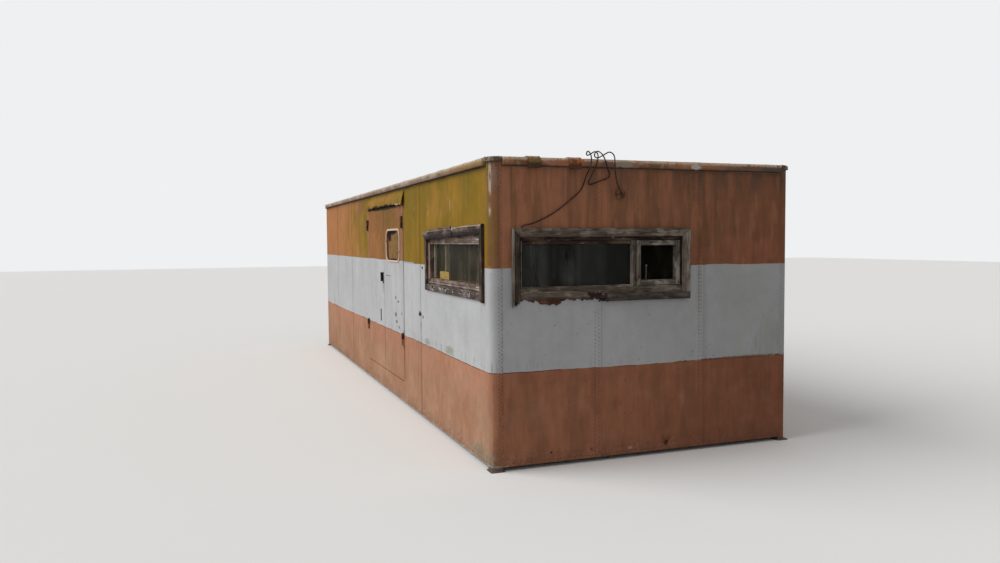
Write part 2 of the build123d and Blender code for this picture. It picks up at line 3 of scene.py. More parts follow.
import bmesh
import bpy
from mathutils import Matrix, Vector


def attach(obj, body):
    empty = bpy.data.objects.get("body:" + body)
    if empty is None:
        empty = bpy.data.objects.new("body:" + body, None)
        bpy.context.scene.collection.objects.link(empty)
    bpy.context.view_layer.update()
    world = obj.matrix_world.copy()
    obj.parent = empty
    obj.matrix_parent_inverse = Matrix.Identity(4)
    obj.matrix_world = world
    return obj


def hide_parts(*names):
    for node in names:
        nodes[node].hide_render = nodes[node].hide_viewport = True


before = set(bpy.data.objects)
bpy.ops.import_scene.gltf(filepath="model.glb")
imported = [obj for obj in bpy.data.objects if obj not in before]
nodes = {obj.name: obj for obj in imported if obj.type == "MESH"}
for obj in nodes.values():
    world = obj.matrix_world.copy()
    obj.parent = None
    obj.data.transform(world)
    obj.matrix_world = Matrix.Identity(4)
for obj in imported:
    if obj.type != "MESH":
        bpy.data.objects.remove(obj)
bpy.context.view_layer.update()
print("frame loaded:", len(nodes), "nodes")

# Faces that the pieces are placed from, in metres
wall = {"endX": 3.74, "frontY": -1.25, "backY": 1.25, "farX": -3.74, "eaves": 2.111,
        "lowBand": 0.687, "topBand": 1.411, "lap": 0.002}
endX, frontY, backY, farX = wall["endX"], wall["frontY"], wall["backY"], wall["farX"]
nearly = 0.0001  # places closer than this are the same


def endBox(run0, run1, low, high, back, front):
    # a box on the end wall: run from the near corner, height, depth out of the wall
    return (endX + back, frontY + run0, low), (endX + front, frontY + run1, high)


def sideBox(run0, run1, low, high, back, front):
    # a box on the door side: run from the near corner, height, depth out of the wall
    return (endX - run1, frontY - front, low), (endX - run0, frontY - back, high)


def useOnly(piece):
    bpy.ops.object.select_all(action="DESELECT")
    piece.select_set(True)
    bpy.context.view_layer.objects.active = piece


def link(item):
    bpy.context.scene.collection.objects.link(item)
    return item


def settle(piece):
    # the place goes into the mesh, the object to the origin
    useOnly(piece)
    bpy.ops.object.transform_apply(location=True, rotation=True, scale=True)


def newest(name, size=(1, 1, 1)):
    # the piece that was just added, named and brought to its size
    piece = bpy.context.active_object
    piece.name = name
    piece.scale = size
    settle(piece)
    return piece


def applyModifiers(piece):
    useOnly(piece)
    for modifier in list(piece.modifiers):
        bpy.ops.object.modifier_apply(modifier=modifier.name)


def openMesh(piece):
    # into edit mode, with all of the piece selected
    useOnly(piece)
    bpy.ops.object.mode_set(mode="EDIT")
    bpy.ops.mesh.select_all(action="SELECT")


def closeMesh():
    bpy.ops.object.mode_set(mode="OBJECT")


def pick(piece, kind, test):
    # in edit mode: selects the faces, edges or points that pass the test
    bpy.ops.mesh.select_all(action="DESELECT")
    bpy.ops.mesh.select_mode(type=kind)
    mesh = bmesh.from_edit_mesh(piece.data)
    for item in {"FACE": mesh.faces, "EDGE": mesh.edges, "VERT": mesh.verts}[kind]:
        if test(item):
            item.select_set(True)
    mesh.select_flush_mode()
    bmesh.update_edit_mesh(piece.data)


def isAlong(edge, axis):
    run = edge.verts[1].co - edge.verts[0].co
    return abs(run[axis]) > 0.9 * run.length


def extent(piece, axis):
    places = [v.co[axis] for v in piece.data.vertices]
    return min(places), max(places)


def alongAxis(axis, value, rest=1):
    # one value on an axis and another on the two others
    return [value if i == axis else rest for i in range(3)]


def addBlock(name, low, high):
    middle = [(a + b) / 2 for a, b in zip(low, high)]
    bpy.ops.mesh.primitive_cube_add(size=1, location=middle)
    return newest(name, [b - a for a, b in zip(low, high)])


def cutEven(piece, axis, step):
    # in edit mode: even cuts through all the edges that run along an axis
    low, high = extent(piece, axis)
    count = min(100, round((high - low) / step) - 1)
    if count > 0:
        pick(piece, "EDGE", lambda edge: isAlong(edge, axis))
        bpy.ops.mesh.subdivide(number_cuts=count)


def cutThrough(piece, axis, step):
    # even flat cuts through any shape, so that its surface can bend
    low, high = extent(piece, axis)
    count = max(1, round((high - low) / step))
    openMesh(piece)
    for i in range(1, count):
        place = alongAxis(axis, low + (high - low) * i / count, 0)
        bpy.ops.mesh.select_all(action="SELECT")
        bpy.ops.mesh.bisect(plane_co=place, plane_no=alongAxis(axis, 1, 0))
    closeMesh()


def cutOff(piece, place, normal):
    # saws off what lies beyond a plane and closes the cut
    openMesh(piece)
    bpy.ops.mesh.bisect(plane_co=place, plane_no=normal, clear_outer=True, use_fill=True)
    closeMesh()


def push(piece, depth, size, stretch=(1, 1, 1), level=0.5, along="NORMAL", weight=None,
         contrast=1.0):
    # moves the surface by clouds, drawn out along the grain by an empty, or evenly where
    # size is None; weight says how much at a place
    guide = link(bpy.data.objects.new("guide", None))
    guide.scale = stretch
    bpy.context.view_layer.update()
    moved = piece.modifiers.new("moved", "DISPLACE")
    if size is not None:
        moved.texture = bpy.data.textures.new("clouds", "CLOUDS")
        moved.texture.noise_scale = size
        moved.texture.noise_depth = 2
        moved.texture.contrast = contrast
    if weight is not None:
        group = piece.vertex_groups.new(name="pull")
        for v in piece.data.vertices:
            amount = weight(v.co)
            if amount > 0:
                group.add([v.index], min(1, amount), "REPLACE")
        moved.vertex_group = "pull"
    moved.texture_coords = "OBJECT"
    moved.texture_coords_object = guide
    moved.direction = along
    moved.strength = depth
    moved.mid_level = level
    applyModifiers(piece)
    piece.vertex_groups.clear()
    bpy.data.objects.remove(guide)


def join(name, parts):
    useOnly(parts[0])
    for part in parts:
        part.select_set(True)
    bpy.ops.object.join()
    parts[0].name = name
    return parts[0]


def copyOfNode(node, name, flat=True):
    # a merged copy of a CAD node's mesh, to be worn and dented
    piece = link(bpy.data.objects.new(name, nodes[node].data.copy()))
    openMesh(piece)
    bpy.ops.mesh.remove_doubles(threshold=0.00005)
    if flat:
        bpy.ops.mesh.dissolve_limited(angle_limit=math.radians(1))
    else:
        bpy.ops.mesh.subdivide(number_cuts=3)
    closeMesh()
    return piece


def finishPiece(piece, material, body, angle=35):
    settle(piece)
    bpy.ops.object.shade_smooth_by_angle(angle=math.radians(angle))
    piece.data.materials.clear()
    piece.data.materials.append(material)
    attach(piece, body)
    return piece


# Paints by name, as red, green and blue
paint = {
    "olive": (0.236, 0.148, 0.014), "mustard": (0.33, 0.18, 0.022), "ochre": (0.37, 0.185, 0.038),
    "orange": (0.44, 0.19, 0.07), "endTopNear": (0.45, 0.19, 0.104),
    "endTopFar": (0.255, 0.106, 0.056), "endTopDark": (0.205, 0.098, 0.05),
    "white": (0.54, 0.545, 0.552), "whiteDirty": (0.44, 0.44, 0.425),
    "endWhiteFar": (0.44, 0.438, 0.44), "sideLow": (0.405, 0.208, 0.122),
    "sideLowPale": (0.5, 0.31, 0.21), "endLowNear": (0.43, 0.18, 0.1),
    "endLowFar": (0.29, 0.112, 0.062), "edgeRed": (0.18, 0.055, 0.036), "soil": (0.1, 0.078, 0.055),
    "moss": (0.23, 0.25, 0.18), "rust": (0.095, 0.042, 0.024), "peel": (0.64, 0.54, 0.42),
    "lining": (0.33, 0.31, 0.25), "primer": (0.58, 0.54, 0.5), "leafNear": (0.242, 0.122, 0.034),
    "leafFar": (0.302, 0.13, 0.042), "leafOrange": (0.39, 0.165, 0.058),
    "brick": (0.35, 0.128, 0.076), "rosy": (0.4, 0.19, 0.12), "frame": (0.33, 0.182, 0.09),
    "shade": (0.02, 0.014, 0.01), "sideLowWarm": (0.52, 0.222, 0.13),
    "footDirt": (0.135, 0.11, 0.09),
}
# Paints of the coloured bands: a mark in one of these stays off the white band
bandTones = ("olive", "ochre", "orange", "brick", "rosy", "leafOrange", "endTopDark", "endTopFar")

# The node tree, the material and the shader that are being made
drawing = {}


def feed(socket, value):
    # value is another node's output or a constant; a colour may be given by its name
    if isinstance(value, bpy.types.NodeSocket):
        drawing["tree"].links.new(value, socket)
    elif socket.type == "RGBA":
        socket.default_value = (*paint.get(value, value), 1.0)
    else:
        socket.default_value = value


def put(kind, wires=None, **settings):
    made = drawing["tree"].nodes.new("ShaderNode" + kind)
    for key, value in settings.items():
        setattr(made, key, value)
    for name, value in (wires or {}).items():
        feed(made.inputs[name], value)
    return made


def calc(operation, a, b=0.0):
    return put("Math", {0: a, 1: b}, operation=operation).outputs[0]


def add(a, b):
    return calc("ADD", a, b)


def minus(a, b):
    return calc("SUBTRACT", a, b)


def times(*values):
    result = values[0]
    for value in values[1:]:
        result = calc("MULTIPLY", result, value)
    return result


def vector(operation, a, b):
    return put("VectorMath", {0: a, 1: b}, operation=operation).outputs[0]


def ramp(value, low, high):
    # 0 below low, 1 above high, smooth between
    made = put("MapRange", {0: value, 1: low, 2: high}, interpolation_type="SMOOTHSTEP")
    return made.outputs[0]


def below(value, low, high):
    return minus(1.0, ramp(value, low, high))


def over(value, level, soft):
    return ramp(value, level - soft, level + soft)


def within(value, low, high, soft):
    return times(over(value, low, soft), below(value, high - soft, high + soft))


def blend(mask, a, b, how="MIX"):
    made = put("Mix", {0: mask, 6: a, 7: b}, data_type="RGBA", blend_type=how)
    return made.outputs[2]


def noise(where, scale, detail=4.0):
    return put("TexNoise", {"Vector": where, "Scale": scale, "Detail": detail}).outputs[0]


def speckle(skin, value, share):
    # lightens and darkens a colour by a value that lies about one half
    grey = put("CombineColor", {0: value, 1: value, 2: value}).outputs[0]
    return blend(share, skin, grey, "OVERLAY")


def useGroup(group, wires):
    made = put("Group", node_tree=group)
    for name, value in wires.items():
        feed(made.inputs[name], value)
    return made.outputs


def newGroup(name, vectors, values, results):
    group = bpy.data.node_groups.new(name, "ShaderNodeTree")
    drawing["tree"] = group
    for labels, way, kind in ((vectors, "INPUT", "Vector"), (values, "INPUT", "Float"),
                              (results, "OUTPUT", "Float")):
        for label in labels:
            group.interface.new_socket(name=label, in_out=way, socket_type="NodeSocket" + kind)
    source = group.nodes.new("NodeGroupInput")
    sink = group.nodes.new("NodeGroupOutput")
    return group, source.outputs, sink.inputs


def makePatches():
    # soft-edged patches: rust, peeled paint, lichen
    group, ins, outs = newGroup("patches", ["Vector"], ["Scale", "Detail", "Level", "Soft"],
                                ["Mask"])
    cloud = noise(ins["Vector"], ins["Scale"], ins["Detail"])
    top = add(ins["Level"], ins["Soft"])
    feed(outs["Mask"], ramp(cloud, ins["Level"], top))
    return group


def makeStreaks():
    # narrow marks that run down a wall
    group, ins, outs = newGroup("streaks", ["Vector"], ["Scale", "Run", "Level", "Soft"], ["Mask"])
    drawn = put("CombineXYZ", {0: 1.0, 1: 1.0, 2: ins["Run"]}).outputs[0]
    place = vector("MULTIPLY", ins["Vector"], drawn)
    top = add(ins["Level"], ins["Soft"])
    feed(outs["Mask"], ramp(noise(place, ins["Scale"], 3.0), ins["Level"], top))
    return group


def makeSpot():
    # one worn place with a torn outline; reach is its half size along each axis
    group, ins, outs = newGroup("spot", ["Vector", "Place", "Reach"], ["Torn", "Scale"], ["Mask"])
    away = vector("SUBTRACT", ins["Vector"], ins["Place"])
    away = vector("DIVIDE", away, ins["Reach"])
    far = put("VectorMath", {0: away}, operation="LENGTH").outputs["Value"]
    cloud = minus(noise(ins["Vector"], ins["Scale"], 5.0), 0.5)
    edge = add(far, times(cloud, ins["Torn"], 2.0))
    feed(outs["Mask"], below(edge, 0.72, 1.0))
    return group


def makeGrain():
    # weathered timber: tone of the fibres, open cracks, and the height of both
    group, ins, outs = newGroup("grain", ["Vector", "Drawn"], ["Scale"],
                                ["Tone", "Crack", "Height"])
    place = vector("MULTIPLY", ins["Vector"], ins["Drawn"])
    broad = noise(place, ins["Scale"], 5.0)
    fibre = noise(place, times(ins["Scale"], 3.0), 4.0)
    crack = below(calc("ABSOLUTE", minus(broad, 0.5)), 0.003, 0.016)
    tone = add(times(broad, 0.5), times(fibre, 0.5))
    feed(outs["Tone"], ramp(tone, 0.34, 0.66))
    feed(outs["Crack"], crack)
    feed(outs["Height"], minus(fibre, crack))
    return group


patches, streaks, spot, grain = makePatches(), makeStreaks(), makeSpot(), makeGrain()


def newMaterial(name):
    # starts a material and returns the place on the object
    made = bpy.data.materials.new(name)
    made.use_nodes = True
    made.node_tree.nodes.clear()
    drawing["material"], drawing["tree"] = made, made.node_tree
    drawing["shader"] = put("BsdfPrincipled")
    put("OutputMaterial", {0: drawing["shader"].outputs[0]})
    return put("TexCoord").outputs["Object"]


def closeMaterial(base, rough, height, depth, strength, gloss=0.5, more=None):
    # joins the shader; rough is the least roughness, what is added and the value it goes by
    least, added, value = rough
    bump = put("Bump", {"Height": height, "Distance": depth, "Strength": strength}).outputs[0]
    wires = {"Base Color": base, "Roughness": add(least, times(value, added)), "Normal": bump,
             "Specular IOR Level": gloss, **(more or {})}
    for name, wire in wires.items():
        feed(drawing["shader"].inputs[name], wire)
    return drawing["material"]


def splitXyz(where):
    return put("SeparateXYZ", {0: where}).outputs


def patchMask(where, scale, level, soft=0.05, detail=4.0):
    return useGroup(patches, {"Vector": where, "Scale": scale, "Detail": detail,
                              "Level": level, "Soft": soft})["Mask"]


def streakMask(where, scale, run, level, soft=0.2):
    return useGroup(streaks, {"Vector": where, "Scale": scale, "Run": run,
                              "Level": level, "Soft": soft})["Mask"]


def spotMask(where, place, reach, torn=0.8, scale=30.0):
    return useGroup(spot, {"Vector": where, "Place": place, "Reach": reach,
                           "Torn": torn, "Scale": scale})["Mask"]


# Faces that marks lie on: the axis across the face, its place there, how deep a mark goes
faces = {"front": (1, frontY, 0.05), "door": (1, frontY, 0.08), "end": (0, endX, 0.3),
         "endProud": (0, endX + 0.04, 0.3)}


def onFace(face, rows):
    # marks by their two places along a face and their two half sizes
    axis, level, depth = faces[face]
    made = []
    for run, height, halfRun, halfHeight, *rest in rows:
        place, reach = [run, run, height], [halfRun, halfRun, halfHeight]
        place[axis], reach[axis] = level, depth
        made.append((place, reach, *rest))
    return made


# Worn places, and a painted highlight along the door hood's lower edge: where, half sizes, paint,
# strength, how torn their outline is, scale of its tears
wallMarks = [
    *onFace("front", [
        (2.48, 1.89, 0.4, 0.16, "orange", 0.22, 0.9, 7.0),
        (3.18, 1.9, 0.24, 0.2, "olive", 0.5, 0.9, 7.0),
        (2.793, 1.89, 0.01, 0.07, "peel", 0.3, 0.9, 30.0),
        (2.539, 1.834, 0.01, 0.04, "peel", 0.16, 0.9, 30.0),
        (2.143, 1.844, 0.014, 0.03, "peel", 0.24, 0.9, 30.0),
        (1.673, 1.902, 0.014, 0.034, "peel", 0.22, 0.9, 30.0),
        (2.08, 0.715, 0.08, 0.036, "moss", 0.6, 1.5, 50.0),
        (2.74, 0.722, 0.12, 0.04, "moss", 0.6, 1.5, 50.0),
        (1.9, 1.62, 0.11, 0.16, "olive", 0.75, 0.6, 9.0),
        (-0.9, 2.02, 0.26, 0.09, "endTopFar", 0.65, 0.9, 9.0),
        (-1.6, 1.64, 0.8, 0.2, "ochre", 0.55, 0.9, 4.0),
    ]),
    ((3.5, -1.25, 0.055), (0.28, 0.06, 0.095), "moss", 0.45, 0.9, 14.0),
    ((3.74, -1.25, 0.034), (0.13, 0.13, 0.01), "whiteDirty", 0.5, 0.5, 40.0),
    *onFace("front", [
        (1.93, 0.905, 0.022, 0.05, "peel", 0.45, 0.7, 60.0),
        (1.85, 0.95, 0.056, 0.026, "shade", 0.95, 0.7, 40.0),
        (1.88, 0.85, 0.012, 0.06, "rust", 0.55, 0.7, 50.0),
        (1.945, 0.928, 0.024, 0.016, "rust", 0.85, 0.7, 60.0),
        (1.5, 1.405, 0.3, 0.012, "soil", 0.3, 0.9, 20.0),
    ]),
    ((3.7, -1.25, 1.424), (0.03, 0.06, 0.01), "orange", 0.4, 0.8, 60.0),
    *onFace("endProud", [
        (0.07, 1.7, 0.02, 0.17, "endTopDark", 0.6, 0.9, 20.0),
        (0.35, 1.95, 0.04, 0.16, "endTopDark", 0.55, 0.9, 20.0),
    ]),
    *onFace("end", [
        (-0.999, 1.96, 0.022, 0.14, "brick", 0.65, 0.8, 20.0),
        (0.83, 1.5, 0.42, 0.13, "brick", 0.6, 0.7, 7.0),
        (1.135, 0.5, 0.05, 0.16, "brick", 0.75, 0.8, 20.0),
        (-0.6, 0.64, 0.6, 0.06, "brick", 0.55, 0.8, 9.0),
        (0.69, 0.52, 0.01, 0.18, "soil", 0.22, 0.9, 30.0),
        (1.09, 0.84, 0.16, 0.2, "moss", 0.22, 0.9, 9.0),
        (0.8, 0.691, 0.48, 0.007, "edgeRed", 0.85, 1.1, 40.0),
        (0.9, 0.698, 0.3, 0.007, "moss", 0.6, 1.4, 60.0),
    ]),
    ((3.738, -1.222, 1.64), (0.06, 0.03, 0.26), "olive", 0.34, 0.8, 14.0),
    ((3.728, -1.225, 2.04), (0.05, 0.045, 0.085), "primer", 0.15, 1.6, 80.0),
    *onFace("end", [
        (-0.804, 0.1, 0.01, 0.01, "shade", 0.8, 0.5, 60.0),
        (-0.486, 0.092, 0.009, 0.01, "shade", 0.7, 0.5, 60.0),
        (-0.169, 0.076, 0.02, 0.014, "primer", 0.6, 0.9, 60.0),
    ]),
    # painted highlight along the wavy lower edge of the door hood, in the pale peel paint
    ((0.42, -1.285, 1.97), (0.96, 0.04, 0.013), "peel", 0.6, 0.5, 20.0),
    ((0.82, -1.26, 2.06), (0.014, 0.03, 0.012), "rust", 0.9, 0.6, 60.0),
    ((0.42, -1.27, 2.05), (1.0, 0.05, 0.085), "ochre", 0.55, 0.6, 9.0),
]
doorMarks = [
    ((0.42, -1.26, 1.962), (1.1, 0.1, 0.026), "shade", 0.92, 0.6, 12.0),
    *onFace("door", [
        (1.235, 1.79, 0.06, 0.11, "rust", 0.7, 0.9, 40.0),
        (-0.48, 1.79, 0.07, 0.1, "rust", 0.6, 0.9, 40.0),
        (1.22, 0.64, 0.05, 0.1, "rust", 0.6, 0.9, 40.0),
        (0.894, 1.034, 0.034, 0.016, "soil", 0.9, 0.9, 50.0),
        (1.002, 1.0, 0.036, 0.013, "shade", 0.85, 0.9, 50.0),
        (0.89, 0.862, 0.05, 0.026, "soil", 0.75, 1.2, 60.0),
        (1.14, 0.888, 0.02, 0.013, "soil", 0.8, 0.8, 50.0),
        (0.923, 0.794, 0.046, 0.02, "soil", 0.75, 1.2, 60.0),
        (1.029, 0.744, 0.032, 0.016, "soil", 0.75, 1.0, 60.0),
        (0.8, 1.5, 0.45, 0.26, "rosy", 0.6, 0.7, 8.0),
        (1.2, 1.6, 0.09, 0.42, "rosy", 0.6, 0.6, 12.0),
        (-0.48, 1.65, 0.075, 0.33, "rosy", 0.6, 0.6, 12.0),
        (1.1, 1.9, 0.17, 0.09, "brick", 0.45, 0.8, 12.0),
        (-0.1, 1.53, 0.36, 0.22, "leafOrange", 0.8, 0.7, 7.0),
        (0.32, 1.15, 0.04, 0.12, "soil", 0.35, 0.9, 30.0),
        (0.56, 1.246, 0.16, 0.006, "soil", 0.7, 0.4, 50.0),
    ]),
]

# Where the paints change, in metres
zones = {"frontEdge": (-1.236, -1.224), "endEdge": (3.64, 3.7), "windowRun": (1.635, 3.5),
         "drop": 0.014, "bandSoft": 0.002, "sootedTop": 2.11, "cornerRoll": (-1.19, -1.172),
         "cornerSeam": (-1.173, -1.166), "cornerPeelAndHighlightRun": (3.702, 3.72), "cornerPeelAndHighlightFront": (-1.21, -1.2),
         "room": (3.67, 1.18), "liningBoards": 7.2}


def bandedPaint(name, sideTones, marks):
    # three bands of old paint by height; the door side's colours differ from the other sides'
    where = newMaterial(name)
    x, y, z = splitXyz(where)
    broad, small, fine = noise(where, 2.3), noise(where, 38.0, 5.0), noise(where, 240.0, 2.0)
    wobble = add(times(broad, 0.022), times(small, 0.006))
    height = add(z, minus(wobble, 0.014))
    isFront = below(add(y, times(small, 0.012)), *zones["frontEdge"])
    drop = times(isFront, within(x, *zones["windowRun"], 0.035), zones["drop"])
    isTop = over(add(height, drop), wall["topBand"], zones["bandSoft"])
    isLow = minus(1.0, over(height, wall["lowBand"], zones["bandSoft"]))
    isEnd = ramp(x, *zones["endEdge"])
    toRight = times(isEnd, ramp(add(y, times(broad, 0.5)), -1.0, 1.5))

    # top band
    runs = streakMask(where, 5.0, 0.36, 0.34, 0.42)
    side = blend(runs, sideTones[0], sideTones[1])
    farther = add(times(x, -0.35), times(broad, 1.2))
    side = blend(ramp(farther, sideTones[3], sideTones[3] + 0.7), side, sideTones[2])
    other = blend(toRight, "endTopNear", "endTopFar")
    other = blend(times(streakMask(where, 10.0, 0.1, 0.46, 0.14), 0.6), other, "endTopDark")
    other = blend(times(streakMask(where, 15.0, 0.2, 0.5, 0.14), 0.35), other, "endTopNear")
    top = blend(isFront, other, side)

    # white band and low band
    white = blend(times(toRight, 0.9), "white", "endWhiteFar")
    white = blend(times(streakMask(where, 8.0, 0.15, 0.45, 0.3), 0.45), white, "whiteDirty")
    lowSide = blend(times(patchMask(where, 3.0, 0.36, 0.34), 0.48), "sideLow", "sideLowPale")
    lowSide = blend(times(streakMask(where, 20.0, 0.2, 0.48, 0.2), 0.3), lowSide, "sideLowPale")
    lowSide = blend(times(ramp(z, 0.32, 0.68), 0.42), lowSide, "sideLowWarm")
    lowOther = blend(toRight, "endLowNear", "endLowFar")
    lowOther = blend(times(streakMask(where, 7.0, 0.3, 0.45, 0.2), 0.4), lowOther, "endTopDark")
    lowOther = blend(times(patchMask(where, 4.0, 0.46, 0.3), 0.16), lowOther, "sideLowPale")
    coat = blend(isTop, blend(isLow, white, blend(isFront, lowOther, lowSide)), top)

    # edge of the low band, rain marks, specks, dirt at the foot
    line = within(height, wall["lowBand"] - 0.005, wall["lowBand"] + 0.001, 0.0012)
    coat = blend(times(line, patchMask(where, 7.0, 0.42, 0.08)), coat, "edgeRed")
    rain = times(streakMask(where, 24.0, 0.05, 0.5, 0.22), ramp(z, 1.62, zones["sootedTop"]))
    coat = blend(times(rain, 0.42), coat, "soil")
    stain = times(streakMask(where, 13.0, 0.1, 0.44, 0.12), ramp(z, 1.86, zones["sootedTop"]),
                  toRight)
    coat = blend(times(stain, 0.6), coat, "soil")
    drips = times(streakMask(where, 60.0, 0.1, 0.6, 0.06),
                  within(z, wall["lowBand"] + 0.005, wall["lowBand"] + 0.07, 0.02))
    coat = blend(times(drips, add(times(isFront, 0.45), 0.2)), coat, "moss")
    # a pale streak down the rounded near corner: peeled paint and a painted highlight
    torn = add(within(z, 1.925, 2.13, 0.03), within(z, 1.785, 1.85, 0.03))
    peel = times(within(x, *zones["cornerPeelAndHighlightRun"], 0.004), torn, below(y, *zones["cornerPeelAndHighlightFront"]),
                 streakMask(where, 46.0, 0.22, 0.39, 0.12), 0.72)
    bend = add(times(isTop, 0.7), times(isLow, 0.1))
    coat = blend(times(below(y, *zones["cornerRoll"]), isEnd, bend), coat, "endTopDark")
    coat = blend(peel, coat, "peel")
    seam = times(within(y, *zones["cornerSeam"], 0.003), isEnd, ramp(small, 0.3, 0.6), 0.45)
    coat = blend(seam, coat, "soil")
    drawn = add(times(streakMask(where, 22.0, 0.12, 0.38, 0.24), 0.75), 0.25)
    coloured = calc("MAXIMUM", isTop, isLow)
    for place, reach, tone, share, torn, scale in marks:
        mask = times(spotMask(where, place, reach, torn, scale), share)
        if scale < 10:
            mask = times(mask, drawn)
        if tone in bandTones:
            mask = times(mask, coloured)
        coat = blend(mask, coat, tone)
    specks = patchMask(where, 55.0, 0.71, 0.03, 2.0)
    coat = blend(times(specks, 0.5), coat, "rust")
    foot = times(below(z, 0.035, 0.2), ramp(small, 0.38, 0.66))
    coat = blend(times(foot, 0.4), coat, "soil")
    chips = times(patchMask(where, 90.0, 0.58, 0.03), below(z, 0.034, 0.06), isFront)
    coat = blend(times(chips, 0.8), coat, "primer")
    coat = speckle(speckle(coat, fine, 0.14), broad, 0.18)
    coat = speckle(coat, noise(where, 11.0, 6.0), add(0.1, times(coloured, 0.08)))
    drag = vector("MULTIPLY", where, (1.0, 1.0, 0.14))
    coat = speckle(coat, noise(drag, 28.0, 5.0), times(coloured, minus(0.22, times(isFront, 0.08))))
    coat = blend(times(below(z, 0.026, 0.034), 0.85), coat, "footDirt")

    # inside the room the lining is boards of one dull colour
    halfLength, halfWidth = zones["room"]
    isInside = times(within(x, -halfLength, halfLength, 0.002),
                     within(y, -halfWidth, halfWidth, 0.002))
    joint = calc("FRACT", times(add(x, y), zones["liningBoards"]))
    boards = blend(patchMask(where, 4.0, 0.45, 0.2), "lining", "whiteDirty")
    boards = blend(times(below(joint, 0.015, 0.035), 0.8), boards, "soil")
    coat = blend(isInside, coat, boards)
    relief = add(times(small, 0.7), times(specks, -0.6))
    return closeMaterial(coat, (0.62, 0.28, small), relief, 0.0012, 0.7, 0.08)


lipMarks = [
    ((3.775, -0.365, 2.14), (0.05, 0.07, 0.03), (0.2, 0.12, 0.112)),
    ((3.775, -0.235, 2.145), (0.05, 0.08, 0.034), (0.36, 0.3, 0.24)),
    ((3.775, -0.7, 2.14), (0.05, 0.16, 0.03), (0.42, 0.17, 0.09)),
    ((3.775, 0.9, 2.14), (0.05, 0.12, 0.024), (0.23, 0.11, 0.064)),
    ((3.778, 0.37, 2.14), (0.05, 0.04, 0.026), (0.62, 0.58, 0.52)),
]


def lipMetal(name):
    # rolled roof edge: rust and lichen on the ends, grey-pink weathered paint along the sides; a
    # painted highlight on top, painted shade on its lower part and a painted shadow line under it
    where = newMaterial(name)
    x, y, z = splitXyz(where)
    small = noise(where, 46.0, 6.0)
    isEnd = ramp(calc("ABSOLUTE", x), 3.735, 3.748)
    rusty = blend(patchMask(where, 7.0, 0.44, 0.14), (0.44, 0.185, 0.09), (0.24, 0.11, 0.058))
    rusty = blend(times(patchMask(where, 20.0, 0.5, 0.1), 0.6), rusty, (0.4, 0.33, 0.265))
    # painted shade on the lower part of the roll, on the ends
    rusty = blend(times(below(z, 2.122, 2.146), 0.5), rusty, (0.13, 0.055, 0.034))
    dark = times(ramp(add(y, times(small, 0.5)), 0.55, 1.3), 0.88)
    rusty = blend(dark, rusty, (0.105, 0.082, 0.062))
    side = blend(patchMask(where, 6.0, 0.44, 0.14), (0.31, 0.215, 0.145), (0.46, 0.355, 0.285))
    ochre = ramp(add(x, times(small, 1.4)), 2.6, 4.2)
    side = blend(times(ochre, 0.85), side, (0.33, 0.192, 0.045))
    # painted shade on the lower part of the roll, along the sides
    side = blend(times(below(z, 2.122, 2.15), 0.62), side, (0.13, 0.068, 0.042))
    side = blend(times(patchMask(where, 17.0, 0.58, 0.06), 0.7), side, (0.13, 0.09, 0.066))
    skin = blend(isEnd, side, rusty)
    # painted highlight along the top of the roll
    paintedTopHighlight = times(ramp(z, 2.146, 2.167), ramp(small, 0.3, 0.5), 0.85)
    skin = blend(paintedTopHighlight, skin, blend(isEnd, (0.58, 0.49, 0.39), (0.74, 0.54, 0.38)))
    for place, reach, tone in lipMarks:
        skin = blend(times(spotMask(where, place, reach, 0.9, 50.0), 0.85), skin, tone)
    # painted shadow line at the foot of the roll, where it meets the wall
    skin = blend(times(below(z, 2.112, 2.13), 0.8), skin, (0.045, 0.032, 0.026))
    return closeMaterial(skin, (0.66, 0.3, small), small, 0.003, 0.8, 0.15)


crackBlack = (0.016, 0.011, 0.009)
timbers = {
    # pale, middle and dark tone, then the flakes' tone and how rare they are
    "grey": ((0.315, 0.268, 0.21), (0.196, 0.152, 0.116), (0.07, 0.048, 0.036), None),
    "jamb": ((0.37, 0.32, 0.265), (0.27, 0.222, 0.178), (0.12, 0.09, 0.07), None),
    "strip": ((0.47, 0.42, 0.36), (0.35, 0.3, 0.255), (0.19, 0.15, 0.125), None),
    "pale": ((0.42, 0.37, 0.315), (0.265, 0.218, 0.178), (0.11, 0.078, 0.06), None),
    "dusk": ((0.145, 0.118, 0.098), (0.1, 0.078, 0.062), (0.042, 0.03, 0.024), None),
    "umber": ((0.15, 0.098, 0.07), (0.062, 0.038, 0.03), (0.022, 0.014, 0.012),
              ((0.3, 0.26, 0.22), 0.66)),
    "vent": ((0.36, 0.33, 0.28), (0.22, 0.198, 0.16), (0.09, 0.07, 0.056),
             ((0.085, 0.045, 0.032), 0.6)),
    "hood": ((0.24, 0.172, 0.132), (0.086, 0.057, 0.045), (0.028, 0.019, 0.016),
             ((0.42, 0.37, 0.34), 0.66)),
    "sill": ((0.25, 0.205, 0.185), (0.15, 0.114, 0.098), (0.038, 0.026, 0.022),
             ((0.46, 0.43, 0.41), 0.62)),
    "rose": ((0.35, 0.255, 0.21), (0.225, 0.158, 0.125), (0.105, 0.068, 0.054),
             ((0.4, 0.34, 0.29), 0.64)),
    "rotten": ((0.2, 0.088, 0.058), (0.115, 0.05, 0.034), (0.05, 0.022, 0.016), None),
    "sillEdge": ((0.4, 0.35, 0.295), (0.255, 0.205, 0.165), (0.1, 0.07, 0.052), None),
}
